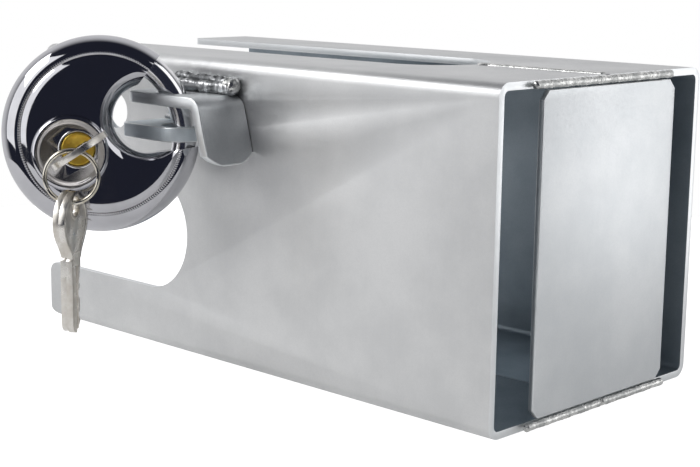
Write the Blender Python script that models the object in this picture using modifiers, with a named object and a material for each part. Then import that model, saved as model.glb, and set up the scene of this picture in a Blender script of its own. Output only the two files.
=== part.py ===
"""Trailer coupler lock: a folded zinc steel box with a guarded round padlock.

Metres, +Z up. X runs from the open mouth (-X) to the welded end plate (+X),
the padlock hangs on the -Y side. Dimension constants are in millimetres.
"""

import math

import bmesh
import bpy
from mathutils import Matrix, Vector

MM = 0.001
GAP = 0.3

# Box made of two folded channels, measured from its mouth (x = 0)
X_SHIFT = -115.0
CHANNEL_LENGTH = 227.8
HALF_WIDTH = 55.5
HEIGHT = 110.0
SHEET = 2.5
BEND_OUTER = 4.5
BEND_INNER = 2.0
SEAM_HALF_GAP = 0.15
TOP_GROOVE = 1.2
BOTTOM_GROOVE = 1.6
SLOT_HALF_WIDTH = 21.0
SLOT_CENTRE_X = 153.0
SLOT_CORNER = 3.5
MOUTH_Z = (22.4, 66.4)
MOUTH_CENTRE_X = 63.7
MOUTH_RADIUS = 22.0
MOUTH_CORNER = 4.0
SPARE_HOLE = (44.8, 87.3, 6.7)
PIN_HOLE = (82.8, 87.2, 6.4)

# End plate and beads
PLATE_X = (228.1, 230.0)
PLATE_HALF_WIDTH = 36.6
PLATE_Z = (3.4, 107.0)
PLATE_CHAMFER = 3.0
BEAD_RADIUS = 1.45
BEAD_X = 229.6

# Guard bracket
GUARD_THICK = 4.0
GUARD_TOP = 98.3
GUARD_LEFT = 76.0
GUARD_Y = (-76.5, -55.8)
GUARD_BEND = 6.0
GUARD_OUTER_POINT = (118.0, 91.7)
GUARD_LEAN = math.radians(15.5)
GUARD_LEG_END = 75.0
GUARD_LEG_ROUND = 15.4
GUARD_CORNER = 6.0
GUARD_HOLE = (93.8, -66.9, 6.5)

# Locking pin and tongue
PIN_RADIUS = 6.0
PIN_HALF_LENGTH = 57.0
TONGUE_Z = (81.8, 86.9)
TONGUE_X = 74.2
TONGUE_Y = (-75.6, -57.3)
TONGUE_END = (95.3, -66.45)
TONGUE_HOLE = (95.4, -66.0, 6.8)

# Padlock: local axes u (right on its face), v (up its face), n (out of its face)
FACE_ANGLE = math.radians(52.8)
FACE_TILT = math.radians(5.6)
LOCK_CENTRE = (79.1, -88.2, 84.1)
BODY_RADIUS = 33.8
RIM_WALL = 0.75
SHELL_WALL = 1.0
FACE_RADIUS = 23.6
FACE_HALF = 12.0
RIDGE_RADIUS = 27.5
RIDGE_HALF = 11.0
NOTCH_CENTRE = (15.9, 5.2)
NOTCH_RADIUS = 12.0
NOTCH_ROLL = 4.0
NOTCH_TOP_ANGLE = math.radians(53.0)
NOTCH_END = (19.4, -6.5)
NOTCH_RIM = (38.0, -3.8)
SHACKLE_RADIUS = 28.6
SHACKLE_WIRE = 4.15
SHACKLE_ARC = (-17.0, 150.0)
FRAME_RADIUS = 24.1
FRAME_HALF = 10.5
CARRIER_ARC = (100.0, 140.0)
CARRIER_RADII = (19.0, 24.3)
CARRIER_HALF = 2.0
PLUG_AXIS = (-7.9, -5.0)
PLUG_RADIUS = 5.6
PLUG_FRONT = 12.9
PLUG_REAR = -8.3
HOUSING_RADIUS = 7.6
GUARD_DISC_CENTRE = (-10.5, -6.35)
GUARD_DISC_RADIUS = 13.0

# Keys
KEY_ANGLE = math.radians(33.0)
KEYWAY_OFFSET = -0.5
KEY_HALF_THICK = 1.05
BOW_OUTLINE = ((0.0, 3.8), (1.4, 4.3), (3.6, 6.0), (6.2, 8.2), (9.0, 9.8), (12.0, 10.4), (14.8, 10.0))
BOW_OUTLINE += ((17.4, 8.6), (19.4, 6.6), (20.8, 4.4), (21.7, 2.2), (22.0, 0.0))
BOW_OFFSET = 0.7
BOW_HOLE = 3.4
BOW_HOLE_Y = 19.6
NECK = 2.5
BLADE_LENGTH = 22.5
BLADE_HALF_WIDTH = 3.7
KEY_SHOULDER = 14.8
FRONT_KEY = (-86.0, -0.9)
REAR_KEY = (-102.5, 0.9)
KEY_YAW = math.radians(-70.0)
KEY_DROP = 0.9

# Split ring
RING_RADIUS = 8.6
RING_WIRE = 0.7
RING_HALF = 1.5
RING_SLACK = 0.25
RING_HANG = math.radians(254.0)


def p3(x, y, z):
    """A point given in box millimetres, in scene metres."""
    return Vector(((x + X_SHIFT) * MM, y * MM, z * MM))


def face_axes():
    """The padlock's (u, v, n) axes in the world; its face looks slightly up."""
    e = Vector((math.cos(FACE_ANGLE), math.sin(FACE_ANGLE), 0.0))
    up = Vector((0.0, 0.0, 1.0))
    flat = e.cross(up)
    v = up * math.cos(FACE_TILT) - flat * math.sin(FACE_TILT)
    return e, v, e.cross(v)


def lock_frame_matrix(u=0.0, v=0.0, n=0.0):
    """Local (u, v, n) axes of the padlock, moved to the given local point."""
    ax, ay, az = face_axes()
    place = p3(*LOCK_CENTRE) + (ax * u + ay * v + az * n) * MM
    turn = Matrix((ax, ay, az)).transposed().to_4x4()
    return Matrix.Translation(place) @ turn


def plumb_matrix(u, v, n):
    """Axes that hang plumb, u along the face and z up, at a local point of the padlock."""
    ax = face_axes()[0]
    up = Vector((0.0, 0.0, 1.0))
    place = lock_frame_matrix(u, v, n).translation
    turn = Matrix((ax, up, ax.cross(up))).transposed().to_4x4()
    return Matrix.Translation(place) @ turn


def collection(name):
    made = bpy.data.collections.new(name)
    bpy.context.scene.collection.children.link(made)
    return made


def clear():
    for obj in list(bpy.data.objects):
        bpy.data.objects.remove(obj, do_unlink=True)


def material(name, colour, metallic, roughness):
    mat = bpy.data.materials.new(name)
    mat.use_nodes = True
    shader = mat.node_tree.nodes["Principled BSDF"]
    shader.inputs["Base Color"].default_value = (*colour, 1.0)
    shader.inputs["Metallic"].default_value = metallic
    shader.inputs["Roughness"].default_value = roughness
    mat.diffuse_color = (*colour, 1.0)
    return mat


def arc(cx, cy, radius, start, end, count):
    """Points of an arc in the outline plane, angles in degrees."""
    out = []
    for i in range(count + 1):
        a = math.radians(start + (end - start) * i / count)
        out.append((cx + radius * math.cos(a), cy + radius * math.sin(a)))
    return out


def merge(bm):
    bmesh.ops.remove_doubles(bm, verts=bm.verts, dist=1e-6)
    bmesh.ops.recalc_face_normals(bm, faces=bm.faces)


def curve_to_mesh(curve_obj, name, home):
    """Turns a curve object into a welded mesh object of the same place."""
    graph = bpy.context.evaluated_depsgraph_get()
    mesh = bpy.data.meshes.new_from_object(curve_obj.evaluated_get(graph))
    bm = bmesh.new()
    bm.from_mesh(mesh)
    merge(bm)
    bm.to_mesh(mesh)
    bm.free()
    made = bpy.data.objects.new(name, mesh)
    made.matrix_world = curve_obj.matrix_world.copy()
    home.objects.link(made)
    bpy.data.objects.remove(curve_obj, do_unlink=True)
    return made


def prism(name, outline, half, frame, home):
    """A flat outline in the frame's XY plane (mm), extruded both ways along its Z."""
    curve = bpy.data.curves.new(name, "CURVE")
    curve.dimensions = "2D"
    curve.fill_mode = "BOTH"
    curve.extrude = half * MM
    spline = curve.splines.new("POLY")
    spline.points.add(len(outline) - 1)
    for point, (x, y) in zip(spline.points, outline):
        point.co = (x * MM, y * MM, 0.0, 1.0)
    spline.use_cyclic_u = True
    obj = bpy.data.objects.new(name + "_outline", curve)
    obj.matrix_world = frame
    home.objects.link(obj)
    bpy.context.view_layer.update()
    return curve_to_mesh(obj, name, home)


def plane_yz(x):
    """Outline X is world Y, outline Y is world Z, extruded along world X."""
    turn = Matrix(((0, 0, 1), (1, 0, 0), (0, 1, 0))).to_4x4()
    return Matrix.Translation(p3(x, 0, 0)) @ turn


def plane_xz(y):
    """Outline X is box x, outline Y is world Z, extruded along world Y."""
    turn = Matrix(((1, 0, 0), (0, 0, -1), (0, 1, 0))).to_4x4()
    return Matrix.Translation(p3(0, y, 0)) @ turn


def plane_xy(z):
    return Matrix.Translation(p3(0, 0, z))


def tube(name, points, radius, home, cyclic=False, resolution=4, frame=None):
    """A round wire through points given in mm of the frame."""
    curve = bpy.data.curves.new(name, "CURVE")
    curve.dimensions = "3D"
    curve.bevel_depth = radius * MM
    curve.bevel_resolution = resolution
    curve.use_fill_caps = not cyclic
    spline = curve.splines.new("POLY")
    spline.points.add(len(points) - 1)
    for point, co in zip(spline.points, points):
        point.co = (co[0] * MM, co[1] * MM, co[2] * MM, 1.0)
    spline.use_cyclic_u = cyclic
    obj = bpy.data.objects.new(name + "_path", curve)
    obj.matrix_world = frame if frame else plane_xy(0)
    home.objects.link(obj)
    bpy.context.view_layer.update()
    return curve_to_mesh(obj, name, home)


def signed_volume(obj):
    """Volume of the object as its modifiers leave it, negative if it is inside out."""
    bpy.context.view_layer.update()
    graph = bpy.context.evaluated_depsgraph_get()
    bm = bmesh.new()
    bm.from_object(obj, graph)
    volume = bm.calc_volume(signed=True)
    bm.free()
    return volume


def turned(name, profile, steps, frame, home):
    """A profile of (radius, height) in mm spun round the frame's Z."""
    mesh = bpy.data.meshes.new(name)
    verts = [(r * MM, 0.0, z * MM) for r, z in profile]
    edges = [(i, i + 1) for i in range(len(profile) - 1)]
    mesh.from_pydata(verts, edges, [])
    obj = bpy.data.objects.new(name, mesh)
    obj.matrix_world = frame
    home.objects.link(obj)
    screw = obj.modifiers.new("Turn", "SCREW")
    screw.steps = steps
    screw.render_steps = steps
    screw.use_merge_vertices = True
    screw.merge_threshold = 0.00001
    screw.use_normal_calculate = True
    screw.use_normal_flip = signed_volume(obj) < 0.0
    return obj


def cut(target, *cutters):
    for cutter in cutters:
        boolean = target.modifiers.new("Cut " + cutter.name, "BOOLEAN")
        boolean.operation = "DIFFERENCE"
        boolean.solver = "EXACT"
        boolean.object = cutter


def hide_cutter(obj):
    obj.hide_render = True
    obj.display_type = "WIRE"
    return obj


def channel_outline(side):
    """Cross-section of one folded channel as (y, z), closed along the two seams."""
    w = HALF_WIDTH
    inner = w - SHEET
    outline = [(-SEAM_HALF_GAP, BOTTOM_GROOVE - SEAM_HALF_GAP), (-BOTTOM_GROOVE, 0.0)]
    outline += arc(-w + BEND_OUTER, BEND_OUTER, BEND_OUTER, 270, 180, 8)
    outline += arc(-w + BEND_OUTER, HEIGHT - BEND_OUTER, BEND_OUTER, 180, 90, 8)
    outline += [(-TOP_GROOVE, HEIGHT), (-SEAM_HALF_GAP, HEIGHT - TOP_GROOVE + SEAM_HALF_GAP)]
    outline += [(-SEAM_HALF_GAP, HEIGHT - SHEET)]
    top = HEIGHT - SHEET - BEND_INNER
    outline += arc(-inner + BEND_INNER, top, BEND_INNER, 90, 180, 6)
    outline += arc(-inner + BEND_INNER, SHEET + BEND_INNER, BEND_INNER, 180, 270, 6)
    outline += [(-SEAM_HALF_GAP, SHEET)]
    return [(y * side, z) for y, z in outline]


def slot_outline():
    """Top slot, open at the mouth end, with eased mouth corners."""
    w = SLOT_HALF_WIDTH
    c = SLOT_CORNER
    outline = [(-6.0, -w - c), (0.0, -w - c)]
    outline += arc(c, -w - c, c, 180, 90, 5)[1:]
    outline += arc(SLOT_CENTRE_X, 0.0, w, -90, 90, 28)
    outline += arc(c, w + c, c, 270, 180, 5)
    outline += [(-6.0, w + c)]
    return outline


def mouth_outline():
    low, high = MOUTH_Z
    c = MOUTH_CORNER
    outline = [(-6.0, low - c)]
    outline += arc(c, low - c, c, 180, 90, 5)
    outline += arc(MOUTH_CENTRE_X, (low + high) / 2, MOUTH_RADIUS, -90, 90, 28)
    outline += arc(c, high + c, c, 270, 180, 5)
    outline += [(-6.0, high + c)]
    return outline


def corner_outline():
    c = MOUTH_CORNER
    return [(-3.0, -3.0), (c, -3.0)] + arc(c, c, c, 270, 180, 5) + [(-3.0, c)]


def hole_outline(x, z, radius, count=32):
    return arc(x, z, radius, 0, 360 - 360 / count, count - 1)


def build_box(parts, cutters):
    mouth = hide_cutter(prism("mouth_cutter", mouth_outline(), 60, plane_xz(0), cutters))
    slot = hide_cutter(prism("slot_cutter", slot_outline(), 6, plane_xy(HEIGHT), cutters))
    spare = hide_cutter(prism("spare_hole_cutter", hole_outline(*SPARE_HOLE), 60, plane_xz(0), cutters))
    bolt = hide_cutter(prism("pin_hole_cutter", hole_outline(*PIN_HOLE), 60, plane_xz(0), cutters))
    made = {}
    for name, side in (("near_channel", 1), ("far_channel", -1)):
        corner = hide_cutter(prism(name + "_corner", corner_outline(), 6, plane_xz(-55 * side), cutters))
        half = CHANNEL_LENGTH / 2
        obj = prism(name, channel_outline(side), half, plane_yz(half), parts)
        cut(obj, mouth, slot, spare, bolt, corner)
        made[name] = obj
    return made


def build_end(parts):
    w = PLATE_HALF_WIDTH
    low, high = PLATE_Z
    c = PLATE_CHAMFER
    outline = [(-w, low + c), (-w + c, low), (w - c, low), (w, low + c)]
    outline += [(w, high - c), (w - c, high), (-w + c, high), (-w, high - c)]
    half = (PLATE_X[1] - PLATE_X[0]) / 2
    made = {"end_plate": prism("end_plate", outline, half, plane_yz(PLATE_X[0] + half), parts)}
    top = HEIGHT + 0.2 - BEAD_RADIUS
    low_z = BEAD_RADIUS + 0.1
    made["end_plate_top_weld"] = tube(
        "end_plate_top_weld", [(BEAD_X, -41.0, top), (BEAD_X, 34.5, top)], BEAD_RADIUS, parts
    )
    made["end_plate_bottom_weld_near"] = tube(
        "end_plate_bottom_weld_near", [(BEAD_X, -39.6, low_z), (BEAD_X, 0.5, low_z)], BEAD_RADIUS, parts
    )
    made["end_plate_bottom_weld_far"] = tube(
        "end_plate_bottom_weld_far", [(BEAD_X, 1.2, low_z), (BEAD_X, 38.0, low_z)], BEAD_RADIUS, parts
    )
    return made


def build_seams(parts):
    bead = [(0.0, 109.35), (0.75, 110.1), (1.5, 110.3), (1.2, 110.55), (0.6, 110.7), (0.0, 110.75)]
    bead += [(-0.6, 110.7), (-1.2, 110.55), (-1.5, 110.3), (-0.75, 110.1)]
    top = prism("top_seam_weld", bead, 25.6, plane_yz(201.0), parts)
    keel = [(-1.1, 0.0), (1.1, 0.0), (0.0, 1.1)]
    bottom = prism("bottom_seam_weld", keel, 111.5, plane_yz(113.5), parts)
    return {"top_seam_weld": top, "bottom_seam_weld": bottom}


def guard_outline():
    """Side outline of the bent guard as (x, z)."""
    lean = GUARD_LEAN
    down = (math.sin(lean), -math.cos(lean))
    px, pz = GUARD_OUTER_POINT
    outer_normal = (math.cos(lean), math.sin(lean))
    bend_z = GUARD_TOP - GUARD_BEND
    line_x = px + math.tan(lean) * (pz - bend_z)
    bend_x = line_x - GUARD_BEND / math.cos(lean)
    end_angle = math.degrees(math.atan2(outer_normal[1], outer_normal[0]))
    outer = arc(bend_x, bend_z, GUARD_BEND, 90, end_angle, 8)
    inner = arc(bend_x, bend_z, GUARD_BEND - GUARD_THICK, end_angle, 90, 6)
    run = (bend_z - GUARD_LEG_END + 1.0) / math.cos(lean)
    foot_outer = (outer[-1][0] + down[0] * run, outer[-1][1] + down[1] * run)
    foot_inner = (inner[0][0] + down[0] * run, inner[0][1] + down[1] * run)
    low = GUARD_TOP - GUARD_THICK
    return [(GUARD_LEFT, GUARD_TOP)] + outer + [foot_outer, foot_inner] + inner + [(GUARD_LEFT, low)]


def build_guard(parts, cutters):
    y0, y1 = GUARD_Y
    mid = (y0 + y1) / 2
    half = (y1 - y0) / 2
    obj = prism("guard_bracket", guard_outline(), half, plane_xz(mid), parts)
    hole = hide_cutter(prism("guard_hole_cutter", hole_outline(*GUARD_HOLE), 8, plane_xy(96.3), cutters))
    c = GUARD_CORNER
    nose = [(GUARD_LEFT - 2, y0 - 2), (GUARD_LEFT + c, y0 - 2)]
    nose += arc(GUARD_LEFT + c, y0 + c, c, 270, 180, 8)
    nose += [(GUARD_LEFT - 2, y0 + c)]
    nose_cut = hide_cutter(prism("guard_nose_cutter", nose, 8, plane_xy(96.3), cutters))
    r = GUARD_LEG_ROUND
    span = math.degrees(math.asin(half / r))
    foot = arc(mid, GUARD_LEG_END + r, r, 270 - span * 1.25, 270 + span * 1.25, 16)
    foot = [(y0 - 4, 60.0)] + [(y0 - 4, foot[0][1])] + foot + [(y1 + 4, foot[-1][1]), (y1 + 4, 60.0)]
    foot_cut = hide_cutter(prism("guard_foot_cutter", foot, 14, plane_yz(120.0), cutters))
    cut(obj, hole, nose_cut, foot_cut)
    weld = tube("guard_weld", [(82.0, -58.45, 101.25), (116.0, -58.45, 101.25)], 2.6, parts)
    return {"guard_bracket": obj, "guard_weld": weld}


def build_bolt(parts, cutters):
    x, z, _ = PIN_HOLE
    turn = Matrix.Rotation(math.radians(90), 4, "X")
    frame = Matrix.Translation(p3(x, 0, z)) @ turn
    h = PIN_HALF_LENGTH
    r = PIN_RADIUS
    profile = [(0.0, h), (r - 0.6, h), (r, h - 0.6), (r, -h + 1.2), (r - 1.2, -h), (0.0, -h)]
    pin = turned("locking_pin", profile, 40, frame, parts)
    y0, y1 = TONGUE_Y
    cx, cy = TONGUE_END
    reach = (y1 - y0) / 2
    outline = arc(TONGUE_X + 2.0, y0 + 2.0, 2.0, 180, 270, 4)
    outline += arc(cx, cy, reach, -90, 90, 20)
    outline += [(TONGUE_X, y1)]
    mid = (TONGUE_Z[0] + TONGUE_Z[1]) / 2
    half = (TONGUE_Z[1] - TONGUE_Z[0]) / 2
    tongue = prism("locking_tongue", outline, half, plane_xy(mid), parts)
    hole = hide_cutter(prism("tongue_hole_cutter", hole_outline(*TONGUE_HOLE), 9, plane_xy(mid), cutters))
    cut(tongue, hole)
    z0 = TONGUE_Z[1] + 1.25
    bead = tube("tongue_weld", [(x - 5.0, -58.4, z0), (x + 5.0, -58.4, z0)], 0.95, parts)
    return {"locking_pin": pin, "locking_tongue": tongue, "tongue_weld": bead}


def notch_outline(grow=0.0):
    """Opening in the padlock body as (u, v): a bore opened out to the rim."""
    cu, cv = NOTCH_CENTRE
    radius = NOTCH_RADIUS + grow
    du, dv = math.cos(NOTCH_TOP_ANGLE), math.sin(NOTCH_TOP_ANGLE)
    ou, ov = -dv * grow, du * grow
    along = (cu - ou) * du + (cv - ov) * dv
    apart = (cu - ou) ** 2 + (cv - ov) ** 2 - radius * radius
    reach = along + math.sqrt(along * along - apart)
    top = (ou + du * reach, ov + dv * reach)
    start = math.degrees(math.atan2(top[1] - cv, top[0] - cu))
    eu, ev = NOTCH_END[0] - cu, NOTCH_END[1] - cv
    stop = 360.0 + math.degrees(math.atan2(ev, eu) - math.asin(grow / radius))
    outline = [(ou + du * 42.0, ov + dv * 42.0)]
    outline += arc(cu, cv, radius, start, stop, 24)
    outline += [(NOTCH_END[0] - 0.52 * grow, NOTCH_END[1] - 1.16 * grow)]
    outline += [(NOTCH_RIM[0], NOTCH_RIM[1] - grow), (44.0, 10.0)]
    return outline


def roll_profile(side, grow=0.0):
    """Rolled edge of the notch, as a cutter's outer side turned about the notch axis."""
    roll = NOTCH_ROLL
    base = FACE_HALF - roll - grow
    points = [(0.0, side * 17.0), (NOTCH_RADIUS + roll + 3.0, side * 17.0)]
    points += [(NOTCH_RADIUS + roll + grow + 0.5, side * (FACE_HALF + 0.6 - grow * 0.3))]
    for i in range(7):
        a = math.radians(90 - 90 * i / 6)
        r = NOTCH_RADIUS + grow + roll - roll * math.cos(a)
        points.append((r, side * (base + roll * math.sin(a))))
    points += [(NOTCH_RADIUS + grow, -side * 0.6), (0.0, -side * 0.6)]
    return points


def body_profile():
    """Outer skin of half the padlock from its face to its rim, closed to a solid."""
    r = BODY_RADIUS
    skin = [(0.0, FACE_HALF), (FACE_RADIUS, FACE_HALF), (24.6, FACE_HALF - 0.15), (25.8, FACE_HALF - 0.6)]
    skin += [(RIDGE_RADIUS - 0.6, RIDGE_HALF - 0.25), (RIDGE_RADIUS, RIDGE_HALF)]
    skin += [(28.9, 10.75), (30.2, 10.1), (31.5, 8.95), (32.6, 7.35), (33.4, 5.5), (r, 3.4), (r, GAP / 2)]
    return skin + [(0.0, GAP / 2)]


def cavity_profile():
    r = BODY_RADIUS - RIM_WALL
    top = FACE_HALF - SHELL_WALL
    return [(0.0, top), (23.4, top), (26.6, 9.7), (29.4, 9.2), (31.4, 7.0), (32.5, 5.0), (r, 4.5), (r, -1.0), (0.0, -1.0)]


def flipped(points, side):
    return [(r, n * side) for r, n in points]


def notch_matrix():
    return lock_frame_matrix(NOTCH_CENTRE[0], NOTCH_CENTRE[1], 0.0)


def shackle_path(start, end, count):
    points = []
    for i in range(count + 1):
        a = math.radians(start + (end - start) * i / count)
        points.append((SHACKLE_RADIUS * math.cos(a), SHACKLE_RADIUS * math.sin(a), 0.0))
    return points


def build_cavity(name, side, cutters):
    """The hollow of one shell: inside the skin and clear of the notch wall."""
    hollow = turned(name, flipped(cavity_profile(), side), 60, lock_frame_matrix(), cutters)
    keep = prism(name + "_keep", notch_outline(SHELL_WALL), 13, lock_frame_matrix(), cutters)
    flare = turned(name + "_flare", roll_profile(side, SHELL_WALL), 56, notch_matrix(), cutters)
    cut(hollow, hide_cutter(keep), hide_cutter(flare))
    return hide_cutter(hollow)


def build_shells(parts, cutters):
    made = {}
    notch = hide_cutter(prism("notch_cutter", notch_outline(), 16, lock_frame_matrix(), cutters))
    path = [p for p in shackle_path(0, 355, 71)]
    ring = tube("shackle_way", path, SHACKLE_WIRE + GAP, cutters, cyclic=True, resolution=4, frame=lock_frame_matrix())
    hide_cutter(ring)
    for name, side in (("padlock_front_shell", 1), ("padlock_rear_shell", -1)):
        shell = turned(name, flipped(body_profile(), side), 72, lock_frame_matrix(), parts)
        hollow = build_cavity(name + "_hollow", side, cutters)
        roll = turned(name + "_roll", roll_profile(side), 56, notch_matrix(), cutters)
        cut(shell, notch, hide_cutter(roll), hollow, ring)
        made[name] = shell
    bore = hole_outline(*GUARD_DISC_CENTRE, GUARD_DISC_RADIUS - 1.0, 48)
    seat = hide_cutter(prism("guard_disc_cutter", bore, 3, lock_frame_matrix(0, 0, 12.5), cutters))
    cut(made["padlock_front_shell"], seat)
    return made


def build_frame(parts, cutters):
    """Die-cast filler between the shells, with room for the shackle's carrier."""
    r = FRAME_RADIUS
    h = FRAME_HALF
    frame = turned("lock_frame", [(0.0, h), (r, h), (r, -h), (0.0, -h)], 56, lock_frame_matrix(), parts)
    grow = SHELL_WALL + GAP
    clear_way = hide_cutter(prism("frame_notch_cutter", notch_outline(grow), 14, lock_frame_matrix(), cutters))
    bore = hole_outline(*PLUG_AXIS, HOUSING_RADIUS + GAP, 32)
    barrel = hide_cutter(prism("housing_cutter", bore, 14, lock_frame_matrix(), cutters))
    low = CARRIER_RADII[0]
    pocket = arc(0, 0, low - 0.6, CARRIER_ARC[0] - 6, CARRIER_ARC[1] + 80, 24)
    pocket += arc(0, 0, r + 3, CARRIER_ARC[1] + 80, CARRIER_ARC[0] - 6, 24)
    slot = hide_cutter(prism("carrier_cutter", pocket, CARRIER_HALF + 0.5, lock_frame_matrix(), cutters))
    cut(frame, clear_way, barrel, slot)
    for side in (1, -1):
        flare = turned("frame_flare_%d" % side, roll_profile(side, grow), 56, notch_matrix(), cutters)
        cut(frame, hide_cutter(flare))
    return frame


def build_cylinder(parts, cutters):
    au, av = PLUG_AXIS
    a = lock_frame_matrix(au, av, 0)
    g = GUARD_DISC_RADIUS
    disc = [(0.0, 12.6), (9.7, 12.6), (10.3, 12.9), (11.2, 13.5), (11.9, 13.6), (12.5, 13.2), (g, 12.3)]
    disc += [(g - 1.3, 12.3), (g - 1.3, 11.3), (0.0, 11.3)]
    guard = turned("cylinder_guard", disc, 48, lock_frame_matrix(*GUARD_DISC_CENTRE, 0), parts)
    face = hole_outline(au, av, PLUG_RADIUS + GAP, 32)
    cut(guard, hide_cutter(prism("plug_face_cutter", face, 20, lock_frame_matrix(), cutters)))
    q = PLUG_RADIUS + GAP
    h = HOUSING_RADIUS
    sleeve = [(h, 9.9), (h, PLUG_REAR - 0.1), (q, PLUG_REAR - 0.1), (q, 9.9), (h, 9.9)]
    housing = turned("cylinder_housing", sleeve, 40, a, parts)
    r = PLUG_RADIUS
    plug = [(0.0, PLUG_FRONT), (r - 0.3, PLUG_FRONT), (r, PLUG_FRONT - 0.3), (r, PLUG_REAR), (0.0, PLUG_REAR)]
    plug_obj = turned("cylinder_plug", plug, 40, a, parts)
    w = BLADE_HALF_WIDTH + GAP
    t = KEY_HALF_THICK + GAP
    k = KEYWAY_OFFSET
    keyway = [(-w, k - t), (w, k - t), (w, k + t), (-w, k + t)]
    depth = KEY_SHOULDER - BLADE_LENGTH - GAP
    slot_frame = a @ Matrix.Rotation(KEY_ANGLE, 4, "Z") @ Matrix.Translation((0, 0, (depth + 12.0) * MM))
    cut(plug_obj, hide_cutter(prism("keyway_cutter", keyway, 12.0, slot_frame, cutters)))
    lobe = arc(0, 0, 5.0, 60, 300, 20) + [(7.0, -2.0), (7.4, 0.0), (7.0, 2.0)]
    cam_frame = a @ Matrix.Translation((0, 0, (PLUG_REAR - 0.8) * MM))
    cam = prism("drive_cam", lobe, 0.5, cam_frame, parts)
    return {"cylinder_guard": guard, "cylinder_housing": housing, "cylinder_plug": plug_obj, "drive_cam": cam}


def build_lock_inside(parts, cutters):
    made = {"lock_frame": build_frame(parts, cutters)}
    low, high = CARRIER_RADII
    sector = arc(0, 0, low, CARRIER_ARC[0], CARRIER_ARC[1], 10)
    sector += arc(0, 0, high - 0.3, CARRIER_ARC[1], CARRIER_ARC[0], 10)
    made["shackle_carrier"] = prism("shackle_carrier", sector, CARRIER_HALF, lock_frame_matrix(), parts)
    path = shackle_path(*SHACKLE_ARC, 40)
    made["shackle"] = tube("shackle", path, SHACKLE_WIRE, parts, resolution=5, frame=lock_frame_matrix())
    made.update(build_cylinder(parts, cutters))
    return made


def key_outline():
    """Key in its own plane: leaf-shaped bow up, blade down, shoulder at y = 0."""
    rise = list(BOW_OUTLINE)
    bow = [(BOW_OFFSET + half, NECK + y) for y, half in rise]
    bow += [(BOW_OFFSET - half, NECK + y) for y, half in rise[-2::-1]]
    w = BLADE_HALF_WIDTH
    tip = -BLADE_LENGTH
    back = [(-w, NECK - 0.6), (-w, tip + 3.2), (-w + 0.5, tip + 1.4), (-w + 1.7, tip + 0.3), (-w + 3.0, tip)]
    bits = [(w - 2.6, tip), (w - 2.2, tip + 1.8), (w - 0.9, tip + 3.6), (w - 2.0, tip + 5.1), (w - 2.0, tip + 6.1)]
    bits += [(w - 0.5, tip + 7.9), (w - 1.2, tip + 9.3), (w - 0.7, tip + 10.3), (w - 2.2, tip + 12.1)]
    bits += [(w - 2.2, tip + 13.3), (w - 0.5, tip + 15.3), (w - 1.4, tip + 16.3), (w - 1.4, tip + 17.7)]
    bits += [(w, tip + 19.3), (w, NECK - 0.6)]
    return bow + back + bits


def build_key(name, frame, parts, cutters):
    obj = prism(name, key_outline(), KEY_HALF_THICK, frame, parts)
    hole = hole_outline(BOW_OFFSET, BOW_HOLE_Y, BOW_HOLE, 24)
    drill = hide_cutter(prism(name + "_hole_cutter", hole, 4, frame, cutters))
    cut(obj, drill)
    return obj


def inserted_key_frame():
    """Key x along the keyway's long direction, y out of the lock face."""
    k = KEYWAY_OFFSET
    au = PLUG_AXIS[0] - k * math.sin(KEY_ANGLE)
    av = PLUG_AXIS[1] + k * math.cos(KEY_ANGLE)
    base = lock_frame_matrix(au, av, KEY_SHOULDER)
    across = Vector((math.cos(KEY_ANGLE), math.sin(KEY_ANGLE), 0.0))
    out = Vector((0.0, 0.0, 1.0))
    turn = Matrix((across, out, across.cross(out))).transposed().to_4x4()
    return base @ turn


def ring_matrix():
    """Plumb axes at the split ring's centre."""
    k = KEYWAY_OFFSET
    reach = BOW_OFFSET - RING_SLACK
    hu = PLUG_AXIS[0] - k * math.sin(KEY_ANGLE) + reach * math.cos(KEY_ANGLE)
    hv = PLUG_AXIS[1] + k * math.cos(KEY_ANGLE) + reach * math.sin(KEY_ANGLE)
    hook = plumb_matrix(hu, hv, KEY_SHOULDER + BOW_HOLE_Y)
    drop = (RING_RADIUS * math.cos(RING_HANG) * MM, RING_RADIUS * math.sin(RING_HANG) * MM, 0.0)
    return hook @ Matrix.Translation(drop)


def hanging_frame(ring_angle, shift):
    """Key hung on the ring at the given angle, bow up and blade down."""
    a = math.radians(ring_angle)
    ku = RING_RADIUS * math.cos(a)
    kv = RING_RADIUS * math.sin(a) - KEY_DROP
    across = Vector((math.cos(KEY_YAW), 0.0, math.sin(KEY_YAW)))
    up = Vector((0.0, 1.0, 0.0))
    turn = Matrix((across, up, across.cross(up))).transposed().to_4x4()
    hung = ring_matrix() @ Matrix.Translation((ku * MM, kv * MM, 0.0)) @ turn
    return hung @ Matrix.Translation(((shift - BOW_OFFSET) * MM, -BOW_HOLE_Y * MM, 0))


def build_keys(parts, cutters):
    made = {"inserted_key": build_key("inserted_key", inserted_key_frame(), parts, cutters)}
    w = RING_WIRE
    h = RING_HALF
    outer = RING_RADIUS + w
    section = [(outer - 0.3, h), (outer, h - 0.3), (outer, 0.25), (outer - 0.3, 0.0), (outer, -0.25)]
    section += [(outer, -h + 0.3), (outer - 0.3, -h), (outer - 2 * w + 0.3, -h)]
    section += [(outer - 2 * w, -h + 0.3), (outer - 2 * w, h - 0.3), (outer - 2 * w + 0.3, h), (outer - 0.3, h)]
    made["key_ring"] = turned("key_ring", section, 40, ring_matrix(), parts)
    made["hanging_key"] = build_key("hanging_key", hanging_frame(*FRONT_KEY), parts, cutters)
    made["spare_key"] = build_key("spare_key", hanging_frame(*REAR_KEY), parts, cutters)
    return made


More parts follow.
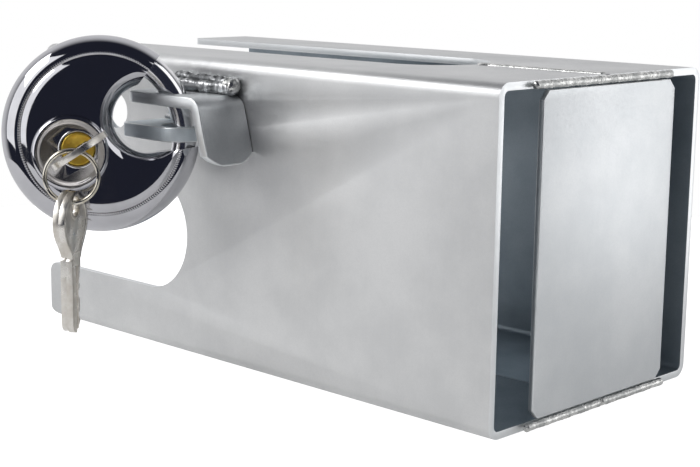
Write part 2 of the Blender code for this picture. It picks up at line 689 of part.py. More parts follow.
FINISH = {
    "galvanised_sheet": ((0.62, 0.66, 0.68), 0.85, 0.48),
    "weld_metal": ((0.60, 0.60, 0.58), 0.8, 0.45),
    "guard_steel": ((0.60, 0.64, 0.66), 0.85, 0.45),
    "polished_stainless": ((0.72, 0.72, 0.74), 1.0, 0.12),
    "hardened_chrome": ((0.80, 0.80, 0.82), 1.0, 0.08),
    "die_cast_zinc": ((0.45, 0.46, 0.47), 0.8, 0.55),
    "brass": ((0.72, 0.50, 0.14), 1.0, 0.28),
    "nickel_plate": ((0.66, 0.62, 0.56), 1.0, 0.3),
}

SLOTS = {
    "galvanised_sheet": ("near_channel", "far_channel", "end_plate"),
    "weld_metal": (
        "top_seam_weld",
        "bottom_seam_weld",
        "end_plate_top_weld",
        "end_plate_bottom_weld_near",
        "end_plate_bottom_weld_far",
        "guard_weld",
        "tongue_weld",
    ),
    "guard_steel": ("guard_bracket", "locking_tongue", "locking_pin"),
    "polished_stainless": ("padlock_front_shell", "padlock_rear_shell", "cylinder_guard"),
    "hardened_chrome": ("shackle",),
    "die_cast_zinc": ("lock_frame", "shackle_carrier"),
    "brass": ("cylinder_plug", "cylinder_housing", "drive_cam"),
    "nickel_plate": ("inserted_key", "key_ring", "hanging_key", "spare_key"),
}


def dress(made):
    for slot, names in SLOTS.items():
        colour, metallic, roughness = FINISH[slot]
        for name in names:
            obj = made[name]
            obj.data.materials.clear()
            obj.data.materials.append(material(slot + "_" + name, colour, metallic, roughness))


def main():
    clear()
    parts = collection("trailer_coupler_lock")
    cutters = collection("cutters")
    made = {}
    made.update(build_box(parts, cutters))
    made.update(build_end(parts))
    made.update(build_seams(parts))
    made.update(build_guard(parts, cutters))
    made.update(build_bolt(parts, cutters))
    made.update(build_shells(parts, cutters))
    made.update(build_lock_inside(parts, cutters))
    made.update(build_keys(parts, cutters))
    dress(made)


main()
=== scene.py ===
"""Looks of the trailer coupler lock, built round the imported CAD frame."""

import math

import bmesh
import bpy
from mathutils import Matrix, Vector


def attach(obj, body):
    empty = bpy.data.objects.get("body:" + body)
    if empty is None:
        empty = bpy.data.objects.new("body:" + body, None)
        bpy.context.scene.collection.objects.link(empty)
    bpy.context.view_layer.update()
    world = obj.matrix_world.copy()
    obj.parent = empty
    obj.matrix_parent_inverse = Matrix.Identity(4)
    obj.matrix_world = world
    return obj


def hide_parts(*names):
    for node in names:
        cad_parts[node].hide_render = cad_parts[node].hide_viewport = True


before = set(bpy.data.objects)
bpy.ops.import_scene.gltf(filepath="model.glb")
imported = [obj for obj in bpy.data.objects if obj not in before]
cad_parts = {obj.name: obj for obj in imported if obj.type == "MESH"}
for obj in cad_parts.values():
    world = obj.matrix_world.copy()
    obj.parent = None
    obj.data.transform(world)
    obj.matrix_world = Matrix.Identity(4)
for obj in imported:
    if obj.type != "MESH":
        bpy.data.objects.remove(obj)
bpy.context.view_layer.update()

MM = 0.001
GAP = 0.3

# The CAD source's dimensions, in millimetres from the box's mouth. NOTCH_ROLL,
# NOTCH_LIP and RING_COIL belong to shapes that are finer here than in the CAD.
X_SHIFT = -115.0
CHANNEL_LENGTH = 227.8
HALF_WIDTH = 55.5
HEIGHT = 110.0
SHEET = 2.5
BEND_OUTER = 4.5
BEND_INNER = 2.0
SEAM_HALF_GAP = 0.15
TOP_GROOVE = 1.2
BOTTOM_GROOVE = 1.6
SLOT_HALF_WIDTH = 21.0
SLOT_CENTRE_X = 153.0
SLOT_CORNER = 3.5
MOUTH_Z = (22.4, 66.4)
MOUTH_CENTRE_X = 63.7
MOUTH_RADIUS = 22.0
MOUTH_CORNER = 4.0
SPARE_HOLE = (44.8, 87.3, 6.7)
PIN_HOLE = (82.8, 87.2, 6.4)
PLATE_X = (228.1, 230.0)
PLATE_HALF_WIDTH = 36.6
PLATE_Z = (3.4, 107.0)
PLATE_CHAMFER = 3.0
BEAD_RADIUS = 1.45
BEAD_X = 229.6
TOP_SEAM = ((175.4, 0, 109.9), (226.6, 0, 109.9))
CRATER_X = 177.5
GUARD_BEAD = ((82, -59.3, 100.6), (116, -59.0, 100.4))
GUARD_CROWN = ((83, -57.4, 102.7), (115, -57.2, 102.0))
GUARD_STOP = ((110.5, -58.6, 101.8), (116.2, -58.6, 101.0))
TONGUE_BEAD_Y = -58.4
TONGUE_BEAD_HALF = 5.0
GUARD_THICK = 4.0
GUARD_TOP = 98.3
GUARD_LEFT = 76.0
GUARD_Y = (-76.5, -55.8)
GUARD_BEND = 6.0
GUARD_OUTER_POINT = (118.0, 91.7)
GUARD_LEAN = math.radians(15.5)
GUARD_LEG_END = 75.0
GUARD_LEG_ROUND = 15.4
GUARD_CORNER = 6.0
GUARD_HOLE = (93.8, -66.9, 6.5)
PIN_RADIUS = 6.0
PIN_HALF_LENGTH = 57.0
TONGUE_Z = (81.8, 86.9)
TONGUE_X = 74.2
TONGUE_Y = (-75.6, -57.3)
TONGUE_END = (95.3, -66.45)
TONGUE_HOLE = (95.4, -66.0, 6.8)
FACE_ANGLE = math.radians(52.8)
FACE_TILT = math.radians(5.6)
LOCK_CENTRE = (79.1, -88.2, 84.1)
BODY_RADIUS = 33.8
RIM_WALL = 0.75
SHELL_WALL = 1.0
FACE_RADIUS = 23.6
FACE_HALF = 12.0
RIDGE_RADIUS = 27.5
RIDGE_HALF = 11.0
NOTCH_CENTRE = (15.9, 5.2)
NOTCH_RADIUS = 12.0
NOTCH_ROLL = 8.1
NOTCH_LIP = math.radians(62.0)
NOTCH_TOP_ANGLE = math.radians(53.0)
NOTCH_END = (19.4, -6.5)
NOTCH_RIM = (38.0, -3.8)
SHACKLE_RADIUS = 28.6
SHACKLE_WIRE = 4.15
SHACKLE_ARC = (-17.0, 150.0)
PLUG_AXIS = (-7.9, -5.0)
PLUG_RADIUS = 5.6
PLUG_FRONT = 12.9
PLUG_REAR = -8.3
GUARD_DISC_CENTRE = (-10.5, -6.35)
GUARD_DISC_RADIUS = 13.0
KEY_ANGLE = math.radians(33.0)
KEYWAY_OFFSET = -0.5
KEY_HALF_THICK = 1.05
BOW_OUTLINE = ((0.0, 3.8), (1.4, 4.3), (3.6, 6.0), (6.2, 8.2), (9.0, 9.8), (12.0, 10.4), (14.8, 10.0))
BOW_OUTLINE += ((17.4, 8.6), (19.4, 6.6), (20.8, 4.4), (21.7, 2.2), (22.0, 0.0))
BOW_OFFSET = 0.7
BOW_HOLE = 3.4
BOW_HOLE_Y = 19.6
NECK = 2.5
BLADE_LENGTH = 22.5
BLADE_HALF_WIDTH = 3.7
KEY_SHOULDER = 14.8
FRONT_KEY = (-86.0, -0.9)
REAR_KEY = (-102.5, 0.9)
KEY_YAW = math.radians(-70.0)
KEY_DROP = 0.9
RING_RADIUS = 8.6
RING_WIRE = 0.7
RING_COIL = 0.76
RING_SLACK = 0.25
RING_HANG = math.radians(254.0)

# Where the camera stands and how it is turned
CAMERA_AT = (387.56, -405.19, 146.32)
CAMERA_AZIMUTH = math.radians(43.736)
CAMERA_ELEVATION = math.radians(10.462)
CAMERA_ROLL = math.radians(0.811)
CAMERA_LENS = 77.616

HOME = bpy.context.scene.collection


# ---------------------------------------------------------------- frames


def p3(x, y, z):
    """A point given in box millimetres, in scene metres."""
    return Vector(((x + X_SHIFT) * MM, y * MM, z * MM))


def face_axes():
    """The padlock's (u, v, n) axes in the world; its face looks slightly up."""
    e = Vector((math.cos(FACE_ANGLE), math.sin(FACE_ANGLE), 0.0))
    up = Vector((0.0, 0.0, 1.0))
    flat = e.cross(up)
    v = up * math.cos(FACE_TILT) - flat * math.sin(FACE_TILT)
    return e, v, e.cross(v)


def lock_frame_matrix(u=0.0, v=0.0, n=0.0):
    ax, ay, az = face_axes()
    place = p3(*LOCK_CENTRE) + (ax * u + ay * v + az * n) * MM
    turn = Matrix((ax, ay, az)).transposed().to_4x4()
    return Matrix.Translation(place) @ turn


def plumb_matrix(u, v, n):
    ax = face_axes()[0]
    up = Vector((0.0, 0.0, 1.0))
    place = lock_frame_matrix(u, v, n).translation
    turn = Matrix((ax, up, ax.cross(up))).transposed().to_4x4()
    return Matrix.Translation(place) @ turn


def notch_matrix():
    return lock_frame_matrix(NOTCH_CENTRE[0], NOTCH_CENTRE[1], 0.0)


def plane_yz(x):
    turn = Matrix(((0, 0, 1), (1, 0, 0), (0, 1, 0))).to_4x4()
    return Matrix.Translation(p3(x, 0, 0)) @ turn


def plane_xz(y):
    turn = Matrix(((1, 0, 0), (0, 0, -1), (0, 1, 0))).to_4x4()
    return Matrix.Translation(p3(0, y, 0)) @ turn


def plane_xy(z):
    return Matrix.Translation(p3(0, 0, z))


def inserted_key_frame():
    k = KEYWAY_OFFSET
    au = PLUG_AXIS[0] - k * math.sin(KEY_ANGLE)
    av = PLUG_AXIS[1] + k * math.cos(KEY_ANGLE)
    base = lock_frame_matrix(au, av, KEY_SHOULDER)
    across = Vector((math.cos(KEY_ANGLE), math.sin(KEY_ANGLE), 0.0))
    out = Vector((0.0, 0.0, 1.0))
    turn = Matrix((across, out, across.cross(out))).transposed().to_4x4()
    return base @ turn


def ring_matrix():
    k = KEYWAY_OFFSET
    reach = BOW_OFFSET - RING_SLACK
    hu = PLUG_AXIS[0] - k * math.sin(KEY_ANGLE) + reach * math.cos(KEY_ANGLE)
    hv = PLUG_AXIS[1] + k * math.cos(KEY_ANGLE) + reach * math.sin(KEY_ANGLE)
    hook = plumb_matrix(hu, hv, KEY_SHOULDER + BOW_HOLE_Y)
    drop = (RING_RADIUS * math.cos(RING_HANG) * MM, RING_RADIUS * math.sin(RING_HANG) * MM, 0.0)
    return hook @ Matrix.Translation(drop)


def hanging_frame(ring_angle, shift):
    a = math.radians(ring_angle)
    ku = RING_RADIUS * math.cos(a)
    kv = RING_RADIUS * math.sin(a) - KEY_DROP
    across = Vector((math.cos(KEY_YAW), 0.0, math.sin(KEY_YAW)))
    up = Vector((0.0, 1.0, 0.0))
    turn = Matrix((across, up, across.cross(up))).transposed().to_4x4()
    hung = ring_matrix() @ Matrix.Translation((ku * MM, kv * MM, 0.0)) @ turn
    return hung @ Matrix.Translation(((shift - BOW_OFFSET) * MM, -BOW_HOLE_Y * MM, 0))


# ---------------------------------------------------------------- mesh tools


def arc(cx, cy, radius, start, end, count):
    out = []
    for i in range(count + 1):
        a = math.radians(start + (end - start) * i / count)
        out.append((cx + radius * math.cos(a), cy + radius * math.sin(a)))
    return out


def circle(x, y, radius, count=64):
    return arc(x, y, radius, 0, 360 - 360 / count, count - 1)


def mesh_object(name, verts, faces, matrix):
    """A mesh object whose vertices are already in the scene's frame."""
    mesh = bpy.data.meshes.new(name)
    mesh.from_pydata([matrix @ Vector(v) for v in verts], [], faces)
    bm = bmesh.new()
    bm.from_mesh(mesh)
    bmesh.ops.remove_doubles(bm, verts=bm.verts, dist=1e-7)
    bmesh.ops.recalc_face_normals(bm, faces=bm.faces)
    if bm.calc_volume(signed=True) < 0.0:
        bmesh.ops.reverse_faces(bm, faces=bm.faces)
    bm.to_mesh(mesh)
    bm.free()
    obj = bpy.data.objects.new(name, mesh)
    HOME.objects.link(obj)
    return obj


def prism(name, outline, half, matrix):
    """A flat outline in the matrix's XY plane (mm), extruded both ways along its Z."""
    n = len(outline)
    verts = [(x * MM, y * MM, -half * MM) for x, y in outline]
    verts += [(x * MM, y * MM, half * MM) for x, y in outline]
    faces = [list(range(n))[::-1], list(range(n, 2 * n))]
    faces += [[i, (i + 1) % n, n + (i + 1) % n, n + i] for i in range(n)]
    return mesh_object(name, verts, faces, matrix)


def turned(name, profile, steps, matrix):
    """A profile of (radius, height) in mm spun round the matrix's Z."""
    verts = []
    for i in range(steps):
        a = 2.0 * math.pi * i / steps
        c, s = math.cos(a), math.sin(a)
        verts += [(r * c * MM, r * s * MM, z * MM) for r, z in profile]
    m = len(profile)
    faces = []
    for i in range(steps):
        j = (i + 1) % steps
        for k in range(m - 1):
            corners = [i * m + k, j * m + k, j * m + k + 1, i * m + k + 1]
            if profile[k][0] == 0.0:
                corners.pop(1)
            elif profile[k + 1][0] == 0.0:
                corners.pop(2)
            faces.append(corners)
    return mesh_object(name, verts, faces, matrix)


def tube(name, points, radii, sides, matrix, closed=False, flat=1.0, guide=None):
    """A wire through points in mm; each point has its own radius."""
    count = len(points)
    pts = [Vector(p) for p in points]
    verts = []
    for i, p in enumerate(pts):
        ahead = pts[(i + 1) % count] if closed or i + 1 < count else p
        behind = pts[i - 1] if closed or i > 0 else p
        along = (ahead - behind).normalized()
        if guide is None:
            guide = along.orthogonal()
        guide = (guide - along * guide.dot(along)).normalized()
        side = along.cross(guide)
        r = radii[i] if isinstance(radii, list) else radii
        for k in range(sides):
            a = 2.0 * math.pi * k / sides
            q = p + guide * (math.cos(a) * r) + side * (math.sin(a) * r * flat)
            verts.append(q * MM)
    faces = []
    for i in range(count if closed else count - 1):
        j = (i + 1) % count
        for k in range(sides):
            m = (k + 1) % sides
            faces.append([i * sides + k, i * sides + m, j * sides + m, j * sides + k])
    if not closed:
        faces.append(list(range(sides))[::-1])
        faces.append([(count - 1) * sides + k for k in range(sides)])
    return mesh_object(name, verts, faces, matrix)


def cut(target, *cutters):
    for cutter in cutters:
        boolean = target.modifiers.new("Cut", "BOOLEAN")
        boolean.operation = "DIFFERENCE"
        boolean.solver = "EXACT"
        boolean.object = cutter


def settle(obj, *used):
    """Applies the modifiers, welds the result and removes the cutters used."""
    bpy.context.view_layer.update()
    graph = bpy.context.evaluated_depsgraph_get()
    mesh = bpy.data.meshes.new_from_object(obj.evaluated_get(graph))
    obj.modifiers.clear()
    obj.data = mesh
    bm = bmesh.new()
    bm.from_mesh(mesh)
    bmesh.ops.remove_doubles(bm, verts=bm.verts, dist=2e-6)
    bmesh.ops.dissolve_degenerate(bm, edges=bm.edges, dist=2e-6)
    limit = math.radians(0.15)
    bmesh.ops.dissolve_limit(bm, angle_limit=limit, verts=bm.verts, edges=bm.edges)
    bm.to_mesh(mesh)
    bm.free()
    for item in used:
        bpy.data.objects.remove(item, do_unlink=True)
    return obj


def smooth(obj, angle=32.0):
    obj.data.shade_smooth()
    obj.data.set_sharp_from_angle(angle=math.radians(angle))


def ease(obj, width, material=-1, segments=3, angle=40.0):
    """Rounded arrises; material is the slot the rounded strips take."""
    bevel = obj.modifiers.new("Ease", "BEVEL")
    bevel.width = width * MM
    bevel.segments = segments
    bevel.limit_method = "ANGLE"
    bevel.angle_limit = math.radians(angle)
    bevel.material = material
    bevel.harden_normals = False
    bevel.use_clamp_overlap = True
    graph = bpy.context.evaluated_depsgraph_get()
    mesh = bpy.data.meshes.new_from_object(obj.evaluated_get(graph))
    obj.modifiers.clear()
    obj.data = mesh


def paint(obj, *materials):
    obj.data.materials.clear()
    for item in materials:
        obj.data.materials.append(item)


def paint_faces(obj, rule):
    """rule(centre in box mm, normal) gives each face's material slot."""
    for face in obj.data.polygons:
        c = face.center
        spot = Vector((c.x / MM - X_SHIFT, c.y / MM, c.z / MM))
        face.material_index = rule(spot, face.normal)


def place(obj, body, slot, *nodes):
    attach(obj, body)
    if nodes:
        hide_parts(*nodes)


def wobble(x, seed):
    """Smooth repeatable unevenness between -1 and 1."""
    total = math.sin(x * 0.71 + seed) + 0.6 * math.sin(x * 1.93 + seed * 2.3)
    return (total + 0.4 * math.sin(x * 4.1 + seed * 0.7)) / 2.0


# ---------------------------------------------------------------- materials


class Graph:
    """Short hand for building one procedural material."""

    def __init__(self, name, metallic, roughness):
        self.mat = bpy.data.materials.new(name)
        self.mat.use_nodes = True
        self.tree = self.mat.node_tree
        self.shader = self.tree.nodes["Principled BSDF"]
        self.shader.inputs["Metallic"].default_value = metallic
        self.shader.inputs["Roughness"].default_value = roughness

    def put(self, socket, value):
        if isinstance(value, bpy.types.NodeSocket):
            self.tree.links.new(value, socket)
        elif value is not None:
            socket.default_value = value

    def place(self, matrix=None):
        """Millimetres in the scene's frame, or in the given frame."""
        coord = self.tree.nodes.new("ShaderNodeTexCoord")
        mapping = self.tree.nodes.new("ShaderNodeMapping")
        self.put(mapping.inputs["Vector"], coord.outputs["Object"])
        mapping.inputs["Scale"].default_value = (1000.0, 1000.0, 1000.0)
        if matrix is not None:
            back = matrix.inverted()
            mapping.inputs["Rotation"].default_value = back.to_3x3().to_euler("XYZ")
            mapping.inputs["Location"].default_value = back.translation * 1000.0
        return mapping.outputs["Vector"]

    def stretch(self, vector, scale):
        node = self.tree.nodes.new("ShaderNodeVectorMath")
        node.operation = "MULTIPLY"
        self.put(node.inputs[0], vector)
        node.inputs[1].default_value = scale
        return node.outputs[0]

    def noise(self, vector, scale, detail=3.0, rough=0.55):
        node = self.tree.nodes.new("ShaderNodeTexNoise")
        self.put(node.inputs["Vector"], vector)
        node.inputs["Scale"].default_value = scale
        node.inputs["Detail"].default_value = detail
        node.inputs["Roughness"].default_value = rough
        return node.outputs["Fac"]

    def cells(self, vector, scale, feature="F1"):
        node = self.tree.nodes.new("ShaderNodeTexVoronoi")
        node.feature = feature
        self.put(node.inputs["Vector"], vector)
        node.inputs["Scale"].default_value = scale
        return node.outputs["Distance"]

    def math(self, operation, a, b=0.0, c=0.0):
        node = self.tree.nodes.new("ShaderNodeMath")
        node.operation = operation
        for socket, value in zip(node.inputs, (a, b, c)):
            self.put(socket, value)
        return node.outputs[0]

    def span(self, value, low, high, out_low=0.0, out_high=1.0):
        node = self.tree.nodes.new("ShaderNodeMapRange")
        node.interpolation_type = "SMOOTHSTEP"
        self.put(node.inputs["Value"], value)
        node.inputs["From Min"].default_value = low
        node.inputs["From Max"].default_value = high
        node.inputs["To Min"].default_value = out_low
        node.inputs["To Max"].default_value = out_high
        return node.outputs["Result"]

    def split(self, vector):
        node = self.tree.nodes.new("ShaderNodeSeparateXYZ")
        self.put(node.inputs[0], vector)
        return node.outputs[0], node.outputs[1], node.outputs[2]

    def mix(self, share, a, b):
        node = self.tree.nodes.new("ShaderNodeMix")
        node.data_type = "RGBA"
        self.put(node.inputs[0], share)
        for socket, value in ((node.inputs[6], a), (node.inputs[7], b)):
            self.put(socket, (*value, 1.0) if isinstance(value, tuple) else value)
        return node.outputs[2]

    def near(self, vector, spot, reach):
        """1 at a spot, falling to 0 at the ellipsoid with the given reaches."""
        move = self.tree.nodes.new("ShaderNodeVectorMath")
        move.operation = "SUBTRACT"
        self.put(move.inputs[0], vector)
        move.inputs[1].default_value = spot
        scaled = self.stretch(move.outputs[0], tuple(1.0 / r for r in reach))
        size = self.tree.nodes.new("ShaderNodeVectorMath")
        size.operation = "LENGTH"
        self.put(size.inputs[0], scaled)
        return self.span(size.outputs["Value"], 0.15, 1.0, 1.0, 0.0)

    def bump(self, height, depth, strength=1.0):
        node = self.tree.nodes.new("ShaderNodeBump")
        node.inputs["Distance"].default_value = depth * MM
        node.inputs["Strength"].default_value = strength
        self.put(node.inputs["Height"], height)
        if self.shader.inputs["Normal"].links:
            self.put(node.inputs["Normal"], self.shader.inputs["Normal"].links[0].from_socket)
        self.put(self.shader.inputs["Normal"], node.outputs["Normal"])

    def done(self, colour, roughness=None):
        self.put(self.shader.inputs["Base Color"], colour)
        if roughness is not None:
            self.put(self.shader.inputs["Roughness"], roughness)
        return self.mat


def zinc(name, light, dark, rough, spots=(), metallic=0.9, grain_depth=0.02):
    """Bright zinc plate: fine grain, cloudy patches, faint rolling streaks."""
    g = Graph(name, metallic, rough)
    v = g.place()
    cloud = g.span(g.noise(v, 0.045, 4.0), 0.3, 0.7)
    colour = g.mix(cloud, dark, light)
    streak = g.span(g.noise(g.stretch(v, (1.4, 1.4, 0.03)), 0.6, 3.0), 0.35, 0.68)
    colour = g.mix(g.math("MULTIPLY", streak, 0.08), colour, light)
    grain = g.noise(v, 1.9, 3.0, 0.7)
    speck = g.span(g.noise(v, 0.9, 2.0), 0.62, 0.74)
    colour = g.mix(g.math("MULTIPLY", g.span(grain, 0.35, 0.65), 0.16), colour, dark)
    colour = g.mix(g.math("MULTIPLY", speck, 0.12), colour, light)
    roughness = g.span(grain, 0.3, 0.7, rough - 0.07, rough + 0.08)
    # Darker patches from spots; the ones round the guard are painted shade.
    for spot, reach, tint, share in spots:
        mask = g.near(v, spot, reach)
        torn = g.span(g.noise(g.stretch(v, (0.5, 1.0, 1.0)), 0.35, 4.0, 0.65), 0.25, 0.65)
        mask = g.math("MULTIPLY", g.math("MULTIPLY", mask, torn), share)
        colour = g.mix(mask, colour, tint)
    g.bump(grain, grain_depth)
    return g.done(colour, roughness)


def weld(name, light, dark, rough=0.3, pull=(1.0, 1.0, 1.0), lumps=0.9):
    """Bead metal: bright, fused and uneven, with duller slag flecks, drawn out by pull."""
    g = Graph(name, 0.95, rough)
    v = g.place()
    blotch = g.span(g.noise(g.stretch(v, pull), 0.28, 4.0, 0.6), 0.38, 0.62)
    fleck = g.span(g.noise(v, 1.6, 3.0), 0.58, 0.7)
    colour = g.mix(blotch, dark, light)
    colour = g.mix(g.math("MULTIPLY", fleck, 0.5), colour, dark)
    g.bump(g.noise(v, lumps, 2.0, 0.45), 0.3)
    return g.done(colour, g.span(blotch, 0.0, 1.0, rough + 0.14, rough - 0.06))


def polished(name, colour, rough, matrix, ridge=False, turned_marks=0.0):
    """Buffed steel: hairline marks round the axis, faint smears, optional knurled ridge with painted shade in
    its grooves.
    """
    g = Graph(name, 1.0, rough)
    v = g.place(matrix)
    x, y, _ = g.split(v)
    radius = g.math("SQRT", g.math("ADD", g.math("MULTIPLY", x, x), g.math("MULTIPLY", y, y)))
    rings = g.tree.nodes.new("ShaderNodeCombineXYZ")
    g.put(rings.inputs[0], radius)
    hair = g.noise(g.stretch(rings.outputs[0], (5.0, 1.0, 1.0)), 1.0, 4.0, 0.7)
    scratch = g.noise(g.stretch(v, (0.25, 6.0, 6.0)), 1.0, 3.0, 0.7)
    smear = g.span(g.noise(v, 0.12, 3.0), 0.35, 0.7)
    shade = tuple(c * 0.86 for c in colour)
    tone = g.mix(g.math("MULTIPLY", smear, 0.5), colour, shade)
    tone = g.mix(g.math("MULTIPLY", g.span(scratch, 0.6, 0.75), 0.25), tone, shade)
    low = g.span(smear, 0.0, 1.0, max(rough - 0.02, 0.02), rough + 0.05)
    g.bump(hair, 0.0012 + turned_marks)
    if ridge:
        angle = g.math("ARCTAN2", y, x)
        teeth = g.math("SINE", g.math("MULTIPLY", angle, 210.0))
        inside = g.span(radius, 26.9, 27.2)
        outside = g.span(radius, 27.8, 28.1, 1.0, 0.0)
        band = g.math("MULTIPLY", inside, outside)
        g.bump(g.math("MULTIPLY", teeth, band), 0.05)
        # Painted shade: the knurl's grooves are darkened in colour, on top of their bump.
        tone = g.mix(g.math("MULTIPLY", band, g.span(teeth, -0.4, 0.9, 0.45, 0.0)), tone, shade)
    return g.done(tone, low)


def brass(name, matrix, rough=0.36):
    g = Graph(name, 1.0, rough)
    v = g.place(matrix)
    x, y, _ = g.split(v)
    radius = g.math("SQRT", g.math("ADD", g.math("MULTIPLY", x, x), g.math("MULTIPLY", y, y)))
    ring = g.math("SINE", g.math("MULTIPLY", radius, 21.0))
    tarnish = g.span(g.noise(v, 0.5, 4.0), 0.35, 0.7)
    colour = g.mix(tarnish, (1.0, 0.72, 0.13), (0.90, 0.57, 0.08))
    g.bump(ring, 0.012)
    return g.done(colour, g.span(tarnish, 0.0, 1.0, rough - 0.06, rough + 0.1))


def nickel(name, light, dark, rough, worn=0.35):
    """Plated key stock: cool bright plating rubbed through to warmer grey."""
    g = Graph(name, 1.0, rough)
    v = g.place()
    patch = g.span(g.noise(v, 0.16, 4.0), 0.35, 0.68)
    fine = g.noise(g.stretch(v, (3.0, 3.0, 0.6)), 1.0, 3.0, 0.7)
    colour = g.mix(patch, light, dark)
    colour = g.mix(g.math("MULTIPLY", g.span(fine, 0.55, 0.7), worn), colour, dark)
    g.bump(fine, 0.008)
    return g.done(colour, g.span(patch, 0.0, 1.0, rough - 0.05, rough + 0.1))


def cast(name, colour, rough):
    g = Graph(name, 0.85, rough)
    v = g.place()
    pits = g.cells(v, 0.7)
    tone = g.mix(g.span(g.noise(v, 0.2, 4.0), 0.35, 0.7), colour, tuple(c * 0.75 for c in colour))
    g.bump(pits, 0.05)
    return g.done(tone, g.span(pits, 0.1, 0.8, rough - 0.08, rough + 0.1))


# Painted shade: darker grey patches on the near side plate round the guard and its weld, where the guard's
# shade falls.
GUARD_SHADE = [
    ((-17.0, -55.5, 103.5), (30.0, 12.0, 9.0), (0.30, 0.31, 0.32), 0.35),
    ((4.0, -55.5, 99.0), (12.0, 12.0, 9.0), (0.30, 0.31, 0.32), 0.35),
]
SEAM_HEAT = [((88.0, 0.0, 110.0), (34.0, 9.0, 6.0), (0.42, 0.42, 0.42), 0.5)]
PLATE_LIGHT = (0.745, 0.75, 0.75)
PLATE_DARK = (0.66, 0.667, 0.67)
side_zinc = zinc("zinc_side", PLATE_LIGHT, PLATE_DARK, 0.42, GUARD_SHADE + SEAM_HEAT)
# Painted shade: the inside faces of the sheet get this darker, bluer copy of the zinc.
shaded_inner_zinc = zinc("zinc_inside_painted_shade", (0.40, 0.45, 0.49), (0.30, 0.35, 0.39), 0.46)
# Painted highlight: cut edges and the rounded strips along arrises get this lighter copy of the zinc.
lit_edge_zinc = zinc("zinc_cut_edge_painted_highlight", (0.90, 0.92, 0.93), (0.82, 0.84, 0.85), 0.38, grain_depth=0.004)
end_zinc = zinc("zinc_end_plate", (0.80, 0.82, 0.83), (0.72, 0.745, 0.76), 0.45)
guard_zinc = zinc("zinc_guard", (0.78, 0.80, 0.81), (0.56, 0.585, 0.60), 0.46, grain_depth=0.03)
# Painted light: the tongue and pin get a lighter, bluer zinc to stand in for light on the tongue, which lies
# in the guard's shade.
lit_tongue_zinc = zinc("zinc_tongue_painted_light", (0.76, 0.82, 0.86), (0.58, 0.64, 0.68), 0.42, metallic=0.4)
bead_metal = weld("weld_bead", (0.82, 0.82, 0.80), (0.50, 0.51, 0.50), 0.26)
guard_bead = weld(
    "weld_guard", (0.60, 0.61, 0.62), (0.12, 0.125, 0.13), 0.36, pull=(0.5, 1.6, 1.6), lumps=0.3
)
LOCK = lock_frame_matrix()
BARREL = lock_frame_matrix(PLUG_AXIS[0], PLUG_AXIS[1], 0)
BOSS = lock_frame_matrix(GUARD_DISC_CENTRE[0], GUARD_DISC_CENTRE[1], 0)
shell_steel = polished("stainless_shell", (0.57, 0.57, 0.60), 0.07, LOCK, ridge=True)
boss_steel = polished("stainless_boss", (0.60, 0.60, 0.63), 0.08, BOSS)
chrome = polished("chrome_shackle", (0.88, 0.88, 0.90), 0.11, LOCK)
lip_steel = polished("steel_lip", (0.85, 0.85, 0.86), 0.12, BARREL)
plug_brass = brass("brass_plug", BARREL)
housing_brass = brass("brass_housing", BARREL, 0.32)
key_nickel = nickel("nickel_key", (0.66, 0.63, 0.58), (0.50, 0.47, 0.42), 0.3)
# Painted highlight: the key's edges and rounded arrises get this lighter copy of the key stock.
lit_key_edge = nickel("nickel_key_rim_painted_highlight", (0.86, 0.84, 0.80), (0.70, 0.66, 0.60), 0.3)
ring_nickel = nickel("nickel_ring", (0.78, 0.75, 0.68), (0.60, 0.55, 0.45), 0.14)
filler_zinc = cast("cast_zinc", (0.45, 0.46, 0.47), 0.5)


# ---------------------------------------------------------------- box


def channel_outline(side):
    w = HALF_WIDTH
    inner = w - SHEET
    outline = [(-SEAM_HALF_GAP, BOTTOM_GROOVE - SEAM_HALF_GAP), (-BOTTOM_GROOVE, 0.0)]
    outline += arc(-w + BEND_OUTER, BEND_OUTER, BEND_OUTER, 270, 180, 14)
    outline += arc(-w + BEND_OUTER, HEIGHT - BEND_OUTER, BEND_OUTER, 180, 90, 14)
    outline += [(-TOP_GROOVE, HEIGHT), (-SEAM_HALF_GAP, HEIGHT - TOP_GROOVE + SEAM_HALF_GAP)]
    outline += [(-SEAM_HALF_GAP, HEIGHT - SHEET)]
    top = HEIGHT - SHEET - BEND_INNER
    outline += arc(-inner + BEND_INNER, top, BEND_INNER, 90, 180, 8)
    outline += arc(-inner + BEND_INNER, SHEET + BEND_INNER, BEND_INNER, 180, 270, 8)
    outline += [(-SEAM_HALF_GAP, SHEET)]
    return [(y * side, z) for y, z in outline]


def slot_outline():
    w = SLOT_HALF_WIDTH
    c = SLOT_CORNER
    outline = [(-6.0, -w - c), (0.0, -w - c)]
    outline += arc(c, -w - c, c, 180, 90, 8)[1:]
    outline += arc(SLOT_CENTRE_X, 0.0, w, -90, 90, 48)
    outline += arc(c, w + c, c, 270, 180, 8)
    outline += [(-6.0, w + c)]
    return outline


def mouth_outline():
    low, high = MOUTH_Z
    c = MOUTH_CORNER
    outline = [(-6.0, low - c)]
    outline += arc(c, low - c, c, 180, 90, 8)
    outline += arc(MOUTH_CENTRE_X, (low + high) / 2, MOUTH_RADIUS, -90, 90, 48)
    outline += arc(c, high + c, c, 270, 180, 8)
    outline += [(-6.0, high + c)]
    return outline


def corner_outline():
    c = MOUTH_CORNER
    return [(-3.0, -3.0), (c, -3.0)] + arc(c, c, c, 270, 180, 8) + [(-3.0, c)]


